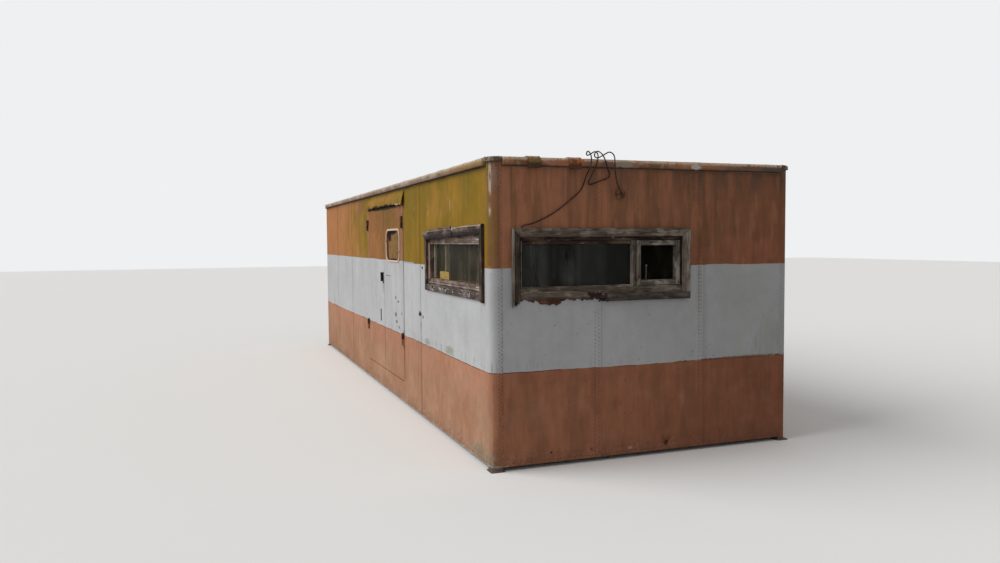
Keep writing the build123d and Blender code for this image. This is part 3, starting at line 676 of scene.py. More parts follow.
# Boards that are dark along their lower edge: on the hood this is a painted shadow under its
# rounded front, on the sill edge it is just darker towards the bottom; its height at x = 0, slope,
# reach and tone
lowerEdges = {
    "hood": (1.5577, 0.0268, 0.04, (0.024, 0.017, 0.019)),
    "sillEdge": (1.172, 0.0, 0.034, (0.06, 0.024, 0.016)),
}
# and upper edges with a painted highlight, where the rounded top catches light, in the same terms
highlightedUpperEdges = {"hood": (1.6385, 0.0222, 0.01, (0.66, 0.53, 0.43))}
timberMade = {}


def overLine(where, height, slope):
    # how far a place lies above a line that slopes along the length
    along = splitXyz(where)
    return minus(along[2], add(height, times(along[0], slope)))


def timber(finish, axis):
    # weathered board, its grain drawn out along an axis; each finish is made once for each axis
    name = finish + "XYZ"[axis]
    if name in timberMade:
        return timberMade[name]
    pale, mid, dark, flakes = timbers[finish]
    where = newMaterial(name)
    drawn = alongAxis(axis, 0.05, 1.0)
    fibres = useGroup(grain, {"Vector": where, "Drawn": drawn, "Scale": 46.0})
    wide = vector("MULTIPLY", where, [0.35 + 0.65 * d for d in drawn])
    skin = blend(fibres["Tone"], dark, mid)
    skin = blend(patchMask(wide, 17.0, 0.44, 0.22, 6.0), skin, pale)
    skin = blend(times(patchMask(wide, 30.0, 0.56, 0.1), 0.65), skin, dark)
    skin = blend(times(fibres["Crack"], 0.65), skin, crackBlack)
    if flakes is not None:
        skin = blend(patchMask(wide, 40.0, flakes[1], 0.02, 5.0), skin, flakes[0])
    # darker towards the lower edge; on the hood this is a painted shadow under its rounded front
    if finish in lowerEdges:
        height, slope, reach, tone = lowerEdges[finish]
        above = add(overLine(where, height, slope), times(fibres["Tone"], reach * 0.4))
        skin = blend(times(below(above, reach * 0.6, reach * 1.3), 0.85), skin, tone)
    # painted highlight along the upper edge
    if finish in highlightedUpperEdges:
        height, slope, reach, tone = highlightedUpperEdges[finish]
        pale = ramp(overLine(where, height, slope), -reach, 0.0)
        skin = blend(times(pale, fibres["Tone"], 0.9), skin, tone)
    timberMade[name] = closeMaterial(skin, (0.72, 0.2, fibres["Tone"]), fibres["Height"], 0.0022,
                                     0.9, 0.15)
    return timberMade[name]


def floorBoards(name):
    # worn floor boards that run the length of the room, each of its own tone
    where = newMaterial(name)
    place = calc("DIVIDE", splitXyz(where)[1], 0.125)  # counted in boards
    board = calc("FLOOR", place)
    own = noise(put("CombineXYZ", {0: 0.5, 1: times(board, 3.7), 2: 0.5}).outputs[0], 1.0)
    fibres = useGroup(grain, {"Vector": where, "Drawn": (0.03, 1.0, 1.0), "Scale": 34.0})
    skin = blend(fibres["Tone"], (0.135, 0.092, 0.062), (0.235, 0.172, 0.12))
    skin = speckle(skin, own, 0.7)
    skin = blend(times(patchMask(where, 1.6, 0.4, 0.3), 0.45), skin, (0.25, 0.215, 0.175))
    joint = below(calc("PINGPONG", place, 0.5), 0.01, 0.035)
    skin = blend(times(joint, 0.9), skin, crackBlack)
    return closeMaterial(skin, (0.62, 0.25, fibres["Tone"]), minus(fibres["Height"], joint), 0.0015,
                         0.7, 0.2)


def ironMetal(name, base, rust, share, rough=0.7, coated=None):
    # dark iron or rusty steel with scale and rust patches; below the heights in coated it is
    # painted over
    where = newMaterial(name)
    small = noise(where, 70.0, 6.0)
    spots = patchMask(where, 22.0, share, 0.1, 5.0)
    skin = blend(spots, base, rust)
    skin = blend(times(ramp(small, 0.5, 0.7), 0.5), skin, (0.03, 0.022, 0.018))
    if coated is not None:
        over = below(add(splitXyz(where)[2], times(small, 0.02)), *coated)
        skin = blend(times(over, 0.85), skin, "sideLow")
    metallic = {"Metallic": times(minus(1.0, spots), 0.25)}
    return closeMaterial(skin, (rough - 0.1, 0.3, small), add(small, spots), 0.0012, 0.8, 0.25,
                         metallic)


def plainWorn(name, base, worn, level, scale=14.0, rough=0.6, depth=0.001, marks=()):
    # one coat of paint or board, worn through in patches; marks are broken places, painted in as
    # shade
    where = newMaterial(name)
    small = noise(where, 120.0, 5.0)
    spots = patchMask(where, scale, level, 0.08, 5.0)
    skin = speckle(blend(spots, base, worn), small, 0.25)
    # painted shade where the board is broken through
    for place, reach in marks:
        skin = blend(spotMask(where, place, reach, 0.7, 40.0), skin, "shade")
    return closeMaterial(skin, (rough, 0.25, small), add(small, spots), depth, 0.6, 0.2,
                         {"IOR": 1.2})


def roofSkin(name):
    # weathered roof sheet: wide soft stains, grit and pinholes of rust
    where = newMaterial(name)
    small = noise(where, 60.0, 6.0)
    skin = blend(patchMask(where, 0.9, 0.34, 0.34), (0.275, 0.24, 0.2), (0.205, 0.16, 0.125))
    skin = blend(times(patchMask(where, 5.0, 0.46, 0.3, 6.0), 0.35), skin, (0.165, 0.112, 0.08))
    skin = blend(times(patchMask(where, 34.0, 0.62, 0.06), 0.55), skin, (0.14, 0.078, 0.05))
    skin = speckle(skin, small, 0.3)
    return closeMaterial(skin, (0.68, 0.25, small), add(small, noise(where, 2.4)), 0.002, 0.6, 0.15)


def strapSkin(name):
    # rusty bands over the roof edge: the nearer one ochre, the next one orange, both with painted
    # shade beneath and a painted highlight along the top
    where = newMaterial(name)
    x, y, z = splitXyz(where)
    small = noise(where, 50.0, 6.0)
    skin = blend(ramp(y, -0.8, -0.76), (0.28, 0.165, 0.064), (0.5, 0.165, 0.058))
    skin = blend(times(patchMask(where, 30.0, 0.46, 0.14), 0.75), skin, (0.15, 0.07, 0.04))
    high = add(z, times(minus(small, 0.5), 0.04))
    # painted shade on the underside of the strap, where it faces the end
    under = below(high, 2.132, 2.152)
    skin = blend(times(under, ramp(x, 3.72, 3.73), 0.85), skin, (0.05, 0.028, 0.02))
    # painted highlight along the top of the strap
    skin = blend(times(ramp(high, 2.168, 2.18), 0.6), skin, (0.48, 0.4, 0.335))
    return closeMaterial(skin, (0.72, 0.25, small), small, 0.002, 0.8, 0.15)


def rivetSkin(name):
    # heads painted with the wall, worn darker than it is
    where = newMaterial(name)
    z = splitXyz(where)[2]
    small = noise(where, 60.0, 3.0)
    tone = blend(over(z, wall["lowBand"], 0.004), (0.19, 0.096, 0.062), (0.33, 0.3, 0.285))
    tone = blend(over(z, wall["topBand"], 0.004), tone, (0.21, 0.11, 0.064))
    tone = blend(times(patchMask(where, 9.0, 0.48, 0.1), 0.7), tone, (0.15, 0.08, 0.055))
    return closeMaterial(speckle(tone, small, 0.3), (0.65, 0.25, small), small, 0.0004, 0.6, 0.15)


def paneGlass(name, dustAndReflectionTone, deep, run, level, bend, clear, bands=()):
    # old window glass with dusty runs down it; bands are wide, faint strips of painted reflection,
    # by place, half width and share
    where = newMaterial(name)
    folds = streakMask(where, run, 0.05, level, 0.34)
    haze = patchMask(where, 5.0, 0.36, 0.3)
    filmAndReflection = times(folds, haze, 0.5 if bands else 1.0)
    # painted reflection bands, laid over the dust film
    for place, half, share in bands:
        band = within(splitXyz(where)[1], place - half, place + half, 0.035)
        band = times(band, share, add(0.75, times(folds, 0.25)))
        filmAndReflection = calc("MAXIMUM", filmAndReflection, band)
    return closeMaterial(blend(filmAndReflection, deep, dustAndReflectionTone), (0.1, 0.2, folds), haze, 0.0006, 0.3,
                         more={"Transmission Weight": clear, "IOR": bend})


sheetPaint = bandedPaint("sheetPaint", ("olive", "mustard", "orange", 0.72), wallMarks)
doorPaint = bandedPaint("doorPaint", ("leafNear", "leafNear", "leafFar", 0.2), doorMarks)
framePaint = bandedPaint("framePaint", ("frame", "leafFar", "leafFar", 0.6), doorMarks)
edgeMetal = lipMetal("edgeMetal")
roofMetal = roofSkin("roofMetal")
deckBoards = floorBoards("deckBoards")
capMetal = plainWorn("capMetal", (0.17, 0.12, 0.09), (0.36, 0.29, 0.235), 0.52, 24.0, 0.75, 0.002)
strapMetal = strapSkin("strapMetal")
rustySteel = ironMetal("rustySteel", (0.075, 0.052, 0.04), (0.13, 0.058, 0.032), 0.42, 0.8)
darkIron = ironMetal("darkIron", (0.03, 0.024, 0.02), (0.085, 0.04, 0.024), 0.55, 0.6)
hingeIron = ironMetal("hingeIron", (0.085, 0.046, 0.03), (0.19, 0.082, 0.044), 0.45, 0.8,
                      (0.65, 0.662))
paleIron = ironMetal("paleIron", (0.24, 0.21, 0.18), (0.13, 0.08, 0.055), 0.55, 0.6)
eyeMetal = plainWorn("eyeMetal", (0.29, 0.135, 0.075), (0.13, 0.062, 0.04), 0.48, 20.0, 0.8, 0.002)
sheath = plainWorn("sheath", (0.04, 0.027, 0.024), (0.085, 0.05, 0.04), 0.5, 30.0, 0.55, 0.0004)
rimPink = plainWorn("rimPink", (0.73, 0.53, 0.44), (0.3, 0.15, 0.1), 0.62, 26.0)
panelBoard = plainWorn("panelBoard", (0.27, 0.15, 0.058), (0.2, 0.105, 0.04), 0.5, 18.0,
                       marks=[((0.595, -1.24, 1.655), (0.075, 0.06, 0.062)),
                              ((0.72, -1.24, 1.698), (0.17, 0.06, 0.026)),
                              ((0.74, -1.24, 1.416), (0.22, 0.06, 0.016))])
cardPaper = plainWorn("cardPaper", (0.86, 0.64, 0.24), (0.52, 0.34, 0.11), 0.52, 60.0, 0.7, 0.0003)
rivetPaint = rivetSkin("rivetPaint")
oldPutty = plainWorn("oldPutty", (0.52, 0.48, 0.44), (0.33, 0.28, 0.24), 0.56, 60.0, 0.8)
mossKnob = plainWorn("mossKnob", (0.12, 0.13, 0.06), (0.06, 0.05, 0.03), 0.5, 60.0, 0.8)
sealBead = plainWorn("sealBead", (0.09, 0.05, 0.036), (0.18, 0.1, 0.07), 0.55, 26.0, 0.8)
innerPaint = plainWorn("innerPaint", (0.9, 0.89, 0.86), (0.72, 0.7, 0.66), 0.5, 10.0, 0.7)
# the end glass's bands are painted reflection at set places
endGlass = paneGlass("endGlass", (0.9, 0.91, 0.85), (0.23, 0.235, 0.215), 7.0, 0.36, 1.08, 0.93,
                     [(-0.85, 0.045, 0.46), (-0.96, 0.06, 0.28), (-0.572, 0.025, 0.44),
                      (-0.45, 0.1, 0.24)])
sideGlass = paneGlass("sideGlass", (0.9, 0.8, 0.56), (0.45, 0.41, 0.31), 10.0, 0.4, 1.03, 0.95)
print("materials made:", len(bpy.data.materials))


view = {"place": (8.8827, -3.1109, 1.6048), "yaw": 69.459, "pitch": -2.918, "roll": -0.424,
        "lens": 28.879}
camera = link(bpy.data.objects.new("camera", bpy.data.cameras.new("camera")))
turn = (Matrix.Rotation(math.radians(view["yaw"]), 4, "Z")
        @ Matrix.Rotation(math.radians(90 + view["pitch"]), 4, "X")
        @ Matrix.Rotation(math.radians(view["roll"]), 4, "Z"))
camera.matrix_world = Matrix.Translation(view["place"]) @ turn
camera.data.lens = view["lens"]
camera.data.sensor_width = 36
bpy.context.scene.camera = camera

light = {"sky": 0.37, "key": 2.05, "softness": 55, "from": (-0.30, -1.00, 0.80),
         "backdrop": (0.86, 0.87, 0.88)}
sun = link(bpy.data.objects.new("keyLight", bpy.data.lights.new("keyLight", "SUN")))
sun.data.energy = light["key"]
sun.data.angle = math.radians(light["softness"])
sun.rotation_euler = Vector(light["from"]).to_track_quat("Z", "Y").to_euler()

world = bpy.data.worlds.new("studio")
world.use_nodes = True
bpy.context.scene.world = world
world.node_tree.nodes.clear()
drawing["tree"] = world.node_tree
rays = put("LightPath").outputs
seen = calc("MAXIMUM", rays["Is Camera Ray"], rays["Is Transmission Ray"])
seen = calc("MAXIMUM", seen, rays["Is Glossy Ray"])
dome = put("Background", {"Color": (1.0, 1.0, 1.0), "Strength": light["sky"]})
back = put("Background", {"Color": light["backdrop"], "Strength": 1.0})
either = put("MixShader", {0: seen, 1: dome.outputs[0], 2: back.outputs[0]})
put("OutputWorld", {0: either.outputs[0]})
bpy.context.scene.view_settings.view_transform = "Standard"

floorTones = {"seen": (0.93, 0.92, 0.90), "lit": (0.46, 0.455, 0.45)}
bpy.ops.mesh.primitive_plane_add(size=90, location=(0, 0, 0))
floor = newest("studioFloor")
floorPlace = newMaterial("studioFloor")
floorRays = put("LightPath").outputs
floorTone = blend(floorRays["Is Camera Ray"], floorTones["lit"], floorTones["seen"])
floorInputs = drawing["shader"].inputs
feed(floorInputs["Base Color"], speckle(floorTone, noise(floorPlace, 1.5), 0.06))
floorInputs["Roughness"].default_value = 0.9
floorInputs["Specular IOR Level"].default_value = 0.1
floor.data.materials.append(drawing["material"])
print("camera, light and floor set")


cable = {
    "diameter": 0.009, "length": 2.270,
    # out from the end wall, run from the near corner, height, all in metres
    "route": [
        (0.004, 0.997, 1.935), (0.025, 0.997, 1.935), (0.043, 0.984, 1.944), (0.052, 0.961, 1.968),
        (0.054, 0.939, 2.018), (0.055, 0.927, 2.095), (0.056, 0.925, 2.160), (0.050, 0.926, 2.196),
        (0.024, 0.925, 2.222), (-0.018, 0.918, 2.238), (-0.060, 0.900, 2.220),
        (-0.084, 0.860, 2.194),
        (-0.068, 0.822, 2.206), (-0.024, 0.812, 2.238), (0.018, 0.822, 2.232),
        (0.046, 0.838, 2.202),
        (0.057, 0.850, 2.160), (0.052, 0.868, 2.110), (0.038, 0.890, 2.080), (0.023, 0.899, 2.059),
        (0.013, 0.888, 2.043), (0.011, 0.858, 2.034), (0.011, 0.808, 2.016), (0.011, 0.768, 2.001),
        (0.012, 0.743, 1.997), (0.016, 0.733, 2.011), (0.026, 0.740, 2.038), (0.046, 0.758, 2.082),
        (0.057, 0.778, 2.136), (0.052, 0.794, 2.184), (0.028, 0.803, 2.218), (-0.014, 0.800, 2.238),
        (-0.050, 0.778, 2.214), (-0.046, 0.750, 2.208), (-0.014, 0.738, 2.236),
        (0.022, 0.740, 2.228),
        (0.047, 0.743, 2.194), (0.056, 0.739, 2.150), (0.050, 0.726, 2.102), (0.029, 0.706, 2.050),
        (0.015, 0.702, 2.012), (0.011, 0.691, 1.978), (0.011, 0.664, 1.942), (0.011, 0.612, 1.900),
        (0.011, 0.532, 1.838), (0.011, 0.443, 1.781), (0.011, 0.350, 1.737), (0.012, 0.286, 1.716),
        (0.013, 0.252, 1.712), (0.014, 0.233, 1.706), (0.015, 0.225, 1.698), (0.015, 0.225, 1.690)],
}
line = bpy.data.curves.new("supplyCable", "CURVE")
line.dimensions = "3D"
line.bevel_depth = cable["diameter"] / 2
line.bevel_resolution = 3
line.resolution_u = 8
line.use_fill_caps = True
spline = line.splines.new("NURBS")
spline.points.add(len(cable["route"]) - 1)
for point, (out, run, height) in zip(spline.points, cable["route"]):
    point.co = (wall["endX"] + out, wall["frontY"] + run, height, 1)
spline.order_u = 3
spline.use_endpoint_u = True
supplyCable = link(bpy.data.objects.new("supplyCable", line))
line.materials.append(sheath)
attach(supplyCable, "cabin")
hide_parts("supply_cable")
print("supply cable laid")


# What the CAD nodes wear; most keep their shape, the others are replaced further down
dressing = [
    (rustySteel, ["skid_runners", "floor_side_rails", "floor_cross_members"]),
    (deckBoards, ["floor_deck"]),
    (sheetPaint, ["end_wall", "far_end_wall", "back_wall", "front_wall_window_bay",
                  "front_wall_over_door", "front_wall_under_door", "front_wall_far_bay",
                  "corner_sheet_front_near", "corner_sheet_back_near", "corner_sheet_front_far",
                  "corner_sheet_back_far", "door_hood"]),
    (roofMetal, ["roof_panel"]),
    (edgeMetal, ["roof_edge_near", "roof_edge_far", "roof_edge_front", "roof_edge_back"]),
    (capMetal, ["roof_corner_caps"]), (strapMetal, ["roof_edge_straps"]),
    (framePaint, ["door_frame"]), (eyeMetal, ["cable_eye"]), (sheath, ["supply_cable"]),
    (hingeIron, ["frame_hinges", "door_leaf_near_hinges", "door_leaf_far_hinges"]),
    (doorPaint, ["door_leaf_near", "door_leaf_far"]), (paleIron, ["end_window_latch"]),
    (timber("grey", 1), ["end_window_casing"]), (timber("pale", 1), ["end_window_sash"]),
    (timber("vent", 2), ["end_window_vent"]), (timber("sill", 0), ["side_window_casing"]),
    (timber("hood", 0), ["side_window_hood"]), (timber("rose", 0), ["side_window_sash"]),
    (endGlass, ["end_window_glass"]), (sideGlass, ["side_window_glass"]),
    (rimPink, ["door_port_rim"]), (panelBoard, ["door_port_panel"]),
    (darkIron, ["door_handle", "door_key_plate"]),
]
for material, names in dressing:
    for name in names:
        for materialSlot in nodes[name].material_slots:
            materialSlot.material = material
print("nodes dressed:", sum(len(names) for material, names in dressing))


# Sheets that have sagged between their seams; keep lists the window's box on each
sheetWear = {"depth": 0.0055, "size": 0.42, "step": 0.06, "calm": 0.16, "pressed": 0.0015,
             "skin": 0.004, "foot": 0.03}
sheets = [
    ("end_wall", "endWallSheet", 1, endX, -1, [-1.172, -0.441, 0.430, 1.172],
     [(-1.10, 0.33, 1.165, 1.69)]),
    ("far_end_wall", "farWallSheet", 1, farX, 1, [-1.172, -0.441, 0.430, 1.172], []),
    ("back_wall", "backWallSheet", 0, backY, -1, [-3.66, -2.68, -1.55, 1.87, 3.66], []),
    ("front_wall_window_bay", "windowBaySheet", 0, frontY, 1, [1.245, 1.87, 3.66],
     [(2.09, 3.61, 1.18, 1.725)]),
    ("front_wall_far_bay", "farBaySheet", 0, frontY, 1, [-3.66, -2.68, -1.55, -0.50], []),
]


def fromBox(run, height, box):
    # how far a place on a wall lies from a window's box
    across = max(box[0] - run, 0, run - box[1])
    up = max(box[2] - height, 0, height - box[3])
    return math.hypot(across, up)


def dentSheet(node, name, axis, face, sign, seams, windows):
    piece = copyOfNode(node, name)
    if face == frontY:
        # on the door side the laps are pressed nearly flat
        openMesh(piece)
        pick(piece, "VERT", lambda v: v.co.y < frontY - wall["lap"] / 2)
        bpy.ops.transform.translate(value=(0, sheetWear["pressed"], 0))
        closeMesh()
    cutThrough(piece, axis, sheetWear["step"])
    cutThrough(piece, 2, sheetWear["step"])

    def sag(co):
        if abs(co[1 - axis] - face) > sheetWear["skin"]:
            return 0
        free = [abs(co[axis] - seam) for seam in seams]
        free += [abs(co.z - edge) for edge in (sheetWear["foot"], wall["eaves"])]
        free += [fromBox(co[axis], co.z, box) for box in windows]
        return min(1, min(free) / sheetWear["calm"])

    push(piece, sign * sheetWear["depth"], sheetWear["size"], level=0.0, along="XY"[1 - axis],
         weight=sag,
         contrast=1.6)
    finishPiece(piece, sheetPaint, "cabin", 30)
    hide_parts(node)


for row in sheets:
    dentSheet(*row)
print("wall sheets dented:", len(sheets))


# Rolled roof edges, knocked about; caps and straps are worse
edgeWear = {"dent": 0.010, "dentSize": 0.16, "pit": 0.004, "pitSize": 0.035, "step": 0.055}
for node, name, axis in (("roof_edge_near", "nearRoofEdge", 1), ("roof_edge_far", "farRoofEdge", 1),
                         ("roof_edge_front", "frontRoofEdge", 0),
                         ("roof_edge_back", "backRoofEdge", 0)):
    edge = copyOfNode(node, name)
    cutThrough(edge, axis, edgeWear["step"])
    cutThrough(edge, 2, 0.014)
    push(edge, edgeWear["dent"], edgeWear["dentSize"], level=1.0)
    push(edge, edgeWear["pit"], edgeWear["pitSize"], level=1.0)
    finishPiece(edge, edgeMetal, "cabin", 60)
    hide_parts(node)
for node, name, metal, depth in (("roof_corner_caps", "crushedCaps", capMetal, 0.011),
                                 ("roof_edge_straps", "rustyStraps", strapMetal, 0.002)):
    cap = copyOfNode(node, name, flat=False)
    push(cap, depth, 0.026, level=1.25, contrast=1.5)
    finishPiece(cap, metal, "cabin", 50)
    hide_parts(node)
print("roof edges dented")


# Heads of the rivets that hold the sheets
rivet = {"radius": 0.0042, "height": 0.0020, "pitch": 0.028, "foot": 0.050, "top": 2.095,
         "footRow": 0.052, "fromCorner": 0.10, "offset": 0.014}
bpy.ops.mesh.primitive_uv_sphere_add(segments=8, ring_count=6, radius=rivet["radius"])
rivetHead = newest("rivetHead")
cutOff(rivetHead, (0, 0, 0), (0, 0, -1))
rivetHead.scale = (1, 1, rivet["height"] / rivet["radius"])
rivetHead.rotation_euler = (0, math.radians(90), 0)
settle(rivetHead)


def rivetRow(start, step, length, facing):
    # a row of heads; facing is the turn about the upright from the end wall
    row = link(bpy.data.objects.new("rivetRow", rivetHead.data.copy()))
    row.rotation_euler = (0, 0, math.radians(facing))
    row.location = start
    settle(row)
    run = row.modifiers.new("run", "ARRAY")
    run.count = max(1, int(length / Vector(step).length))
    run.use_relative_offset = False
    run.use_constant_offset = True
    run.constant_offset_displace = step
    applyModifiers(row)
    return row


def uprights(where, spans, facing):
    # rows up a wall; where is x and y, spans are the heights that they cover
    return [rivetRow((*where, low), (0, 0, rivet["pitch"]), high - low, facing)
            for low, high in spans]


foot, top, offset = rivet["foot"], rivet["top"], rivet["offset"]
corner, footRow = rivet["fromCorner"], rivet["footRow"]
whole = [(foot, top)]
endLap, farLap, backLap = endX + wall["lap"], farX - wall["lap"], backY + wall["lap"]
endRows = uprights((endLap, frontY + 0.795), [(foot, 1.13), (1.73, top)], 0)
endRows += uprights((endLap, frontY + 0.823), [(foot + offset, 1.13), (1.73 + offset, top)], 0)
for run in (1.668, 1.692):
    endRows += uprights((endLap, frontY + run), whole, 0)
for run, start in ((0.056, foot), (0.071, foot + offset), (2.429, foot), (2.444, foot + offset)):
    endRows += uprights((endLap, frontY + run), [(start, 2.11)], 0)
endRows.append(rivetRow((endX, frontY + corner, footRow), (0, rivet["pitch"], 0), 2.3, 0))

farRows = []
for run in (0.069, 0.795, 0.823, 1.668, 1.692, 2.431):
    farRows += uprights((farLap, frontY + run), whole, 180)
farRows.append(rivetRow((farX, frontY + corner, footRow), (0, rivet["pitch"], 0), 2.3, 180))

backRows = []
for run in (0.069, 1.858, 1.882, 5.278, 5.302, 6.408, 6.432, 7.411):
    backRows += uprights((endX - run, backLap), whole, 90)
backRows.append(rivetRow((endX - corner, backY, footRow), (-rivet["pitch"], 0, 0), 7.28, 90))
frontRows = [rivetRow((endX - start, frontY, footRow), (-rivet["pitch"], 0, 0), length, -90)
             for start, length in ((corner, 2.36), (4.28, 3.10))]
for name, rows in (("endWallRivets", endRows), ("farWallRivets", farRows),
                   ("frontWallRivets", frontRows), ("backWallRivets", backRows)):
    finishPiece(join(name, rows), rivetPaint, "cabin")
bpy.data.objects.remove(rivetHead)
print("rivets set")


def oldBoard(name, box, along, wear=0.003, rounding=0.003, step=0.014, cross=0.009,
             corners=()):
    # a sawn board: cut into a fine grid, long edges rounded, then worn along its grain
    piece = addBlock(name, *box)
    openMesh(piece)
    for (x, z), move in corners:
        pick(piece, "VERT", lambda v: abs(v.co.x - x) < nearly and abs(v.co.z - z) < nearly)
        bpy.ops.transform.translate(value=move)
    pick(piece, "EDGE", lambda edge: isAlong(edge, along))
    bpy.ops.mesh.bevel(offset=rounding, segments=2)
    for axis in range(3):
        if axis != along:
            cutEven(piece, axis, cross)
    cutEven(piece, along, step)
    closeMesh()
    push(piece, wear, 0.012, alongAxis(along, 9), 0.8)
    return piece


def fray(piece, axis, atHigh, reach, depth):
    # a rotten end or edge: fibres broken back by different amounts
    low, high = extent(piece, axis)
    end = high if atHigh else low
    push(piece, -depth if atHigh else depth, 0.012, alongAxis(axis, 12), 0.15, "XYZ"[axis],
         lambda co: 1 - abs(co[axis] - end) / reach, 2.2)


def blob(name, place, size, material):
    # a small lump: knob, bolt head or daub of putty
    bpy.ops.mesh.primitive_uv_sphere_add(segments=16, ring_count=10, radius=1, location=place)
    piece = newest(name, size)
    push(piece, 0.25 * min(size), min(size) * 1.5, level=0.6)
    return finishPiece(piece, material, "cabin", 60)


def makeBoards(boards, placed, mitres, rot):
    # boards by name, each in place of a node, with the ends sawn and rotted
    for name, (box, axis, finish, node) in boards.items():
        board = oldBoard(name, placed(*box), axis)
        for (run, height), (y, z) in mitres.get(name, []):
            cutOff(board, (0, frontY + run, height), (0, y, z))
        for end in rot.get(name, []):
            fray(board, *end)
        finishPiece(board, timber(finish, axis), "cabin")
        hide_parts(node)


# End window: run from the near corner, heights, depth behind and before the wall, grain axis,
# finish, node
endBoards = {
    "endCasingTop": ((0.150, 1.580, 1.628, 1.690, 0.0, 0.030), 1, "grey", "end_window_casing"),
    "endCasingEdge": ((0.150, 0.167, 1.148, 1.690, 0.0, 0.030), 2, "jamb", "end_window_casing"),
    "endCasingLeft": ((0.172, 0.206, 1.146, 1.690, 0.0, 0.020), 2, "dusk", "end_window_casing"),
    "endCasingRight": ((1.518, 1.580, 1.165, 1.690, 0.0, 0.030), 2, "jamb", "end_window_casing"),
    "endCasingLow": ((0.865, 1.576, 1.163, 1.219, 0.0, 0.034), 1, "dusk", "end_window_casing"),
    "endSillPale": ((0.212, 0.872, 1.176, 1.246, -0.020, 0.013), 1, "sillEdge",
                    "end_window_casing"),
    "endSillBroken": ((0.700, 0.850, 1.184, 1.238, -0.010, 0.016), 1, "umber", "end_window_casing"),
    "endSillRotten": ((0.330, 0.560, 1.150, 1.192, 0.0, 0.009), 1, "rotten", "end_window_casing"),
    "endSillStub": ((0.815, 0.905, 1.160, 1.210, 0.0, 0.020), 1, "umber", "end_window_casing"),
    "endSashTop": ((0.202, 1.528, 1.601, 1.638, -0.056, -0.006), 1, "umber", "end_window_sash"),
    "endSashInner": ((0.228, 1.096, 1.575, 1.601, -0.050, -0.014), 1, "umber", "end_window_sash"),
    "endSashLeft": ((0.202, 0.228, 1.217, 1.638, -0.056, -0.008), 2, "umber", "end_window_sash"),
    "endSashRight": ((1.502, 1.528, 1.217, 1.638, -0.056, -0.008), 2, "umber", "end_window_sash"),
    "endSashLow": ((0.202, 1.528, 1.217, 1.270, -0.056, -0.004), 1, "grey", "end_window_sash"),
    "endSashBar": ((1.102, 1.130, 1.262, 1.601, -0.056, -0.002), 2, "grey", "end_window_sash"),
    "endSashBead": ((1.094, 1.103, 1.266, 1.601, -0.030, 0.002), 2, "strip", "end_window_sash"),
    "endSashEdge": ((0.225, 0.232, 1.270, 1.601, -0.030, -0.007), 2, "strip", "end_window_sash"),
    "endGlassBead": ((0.228, 1.096, 1.268, 1.279, -0.030, -0.016), 1, "pale", "end_window_sash"),
    "ventLeft": ((1.131, 1.169, 1.271, 1.600, -0.036, 0.006), 2, "vent", "end_window_vent"),
    "ventRight": ((1.463, 1.501, 1.271, 1.600, -0.036, 0.006), 2, "vent", "end_window_vent"),
    "ventTop": ((1.168, 1.464, 1.562, 1.600, -0.036, 0.005), 1, "vent", "end_window_vent"),
    "ventLow": ((1.168, 1.464, 1.271, 1.309, -0.036, 0.005), 1, "vent", "end_window_vent"),
}
# where a board is sawn to a mitre: its corner and the way that is cut off
endMitres = {
    "endCasingTop": [((0.150, 1.690), (-1, -1)), ((1.580, 1.690), (1, -1))],
    "endCasingEdge": [((0.150, 1.690), (1, 1))], "endCasingLeft": [((0.150, 1.690), (1, 1))],
    "endCasingRight": [((1.580, 1.690), (-1, 1))],
}
# rotten ends and edges: axis, at the high side, reach, depth
endRot = {
    "endCasingEdge": [(2, False, 0.10, 0.050)], "endCasingLeft": [(2, False, 0.14, 0.080)],
    "endCasingLow": [(1, False, 0.06, 0.045)],
    "endSillPale": [(2, False, 0.045, 0.026), (1, True, 0.06, 0.05)],
    "endSillRotten": [(2, False, 0.040, 0.022), (1, False, 0.10, 0.08), (1, True, 0.10, 0.08)],
    "endSillBroken": [(2, True, 0.030, 0.030), (2, False, 0.020, 0.016), (1, False, 0.09, 0.08),
                      (1, True, 0.03, 0.02)],
    "endSillStub": [(2, False, 0.030, 0.022), (1, False, 0.04, 0.030), (1, True, 0.04, 0.030)],
}
makeBoards(endBoards, endBox, endMitres, endRot)
blob("endNailHole", (3.7705, frontY + 1.512, 1.343), (0.0016, 0.006, 0.006), darkIron)
print("end window made:", len(endBoards), "boards")


# Door-side window, in the same terms
sideBoards = {
    "sideCasingLow": ((0.183, 1.650, 1.180, 1.234, 0.0, 0.018), 0, "sill", "side_window_casing"),
    "sideCasingNear": ((0.131, 0.183, 1.168, 1.722, 0.0, 0.024), 2, "umber", "side_window_casing"),
    "sideCasingFar": ((1.602, 1.650, 1.184, 1.655, 0.0, 0.020), 2, "umber", "side_window_casing"),
    "sideSashTop": ((0.173, 1.608, 1.586, 1.663, -0.068, -0.014), 0, "rose", "side_window_sash"),
    "sideSashLow": ((0.173, 1.608, 1.222, 1.287, -0.068, -0.014), 0, "rose", "side_window_sash"),
    "sideSashNear": ((0.173, 0.192, 1.282, 1.592, -0.068, -0.016), 2, "umber", "side_window_sash"),
    "sideSashFar": ((1.548, 1.608, 1.282, 1.592, -0.068, -0.001), 2, "rose", "side_window_sash"),
    "sideStripTop": ((0.186, 1.560, 1.578, 1.588, -0.020, -0.008), 0, "strip", "side_window_sash"),
    "sideStripSill": ((0.186, 1.590, 1.245, 1.257, -0.016, -0.003), 0, "strip", "side_window_sash"),
    "sideInnerSill": ((0.186, 1.598, 1.268, 1.287, -0.150, -0.066), 0, "rose", "side_window_sash"),
}
makeBoards(sideBoards, sideBox, {}, {"sideCasingNear": [(2, False, 0.05, 0.015)]})

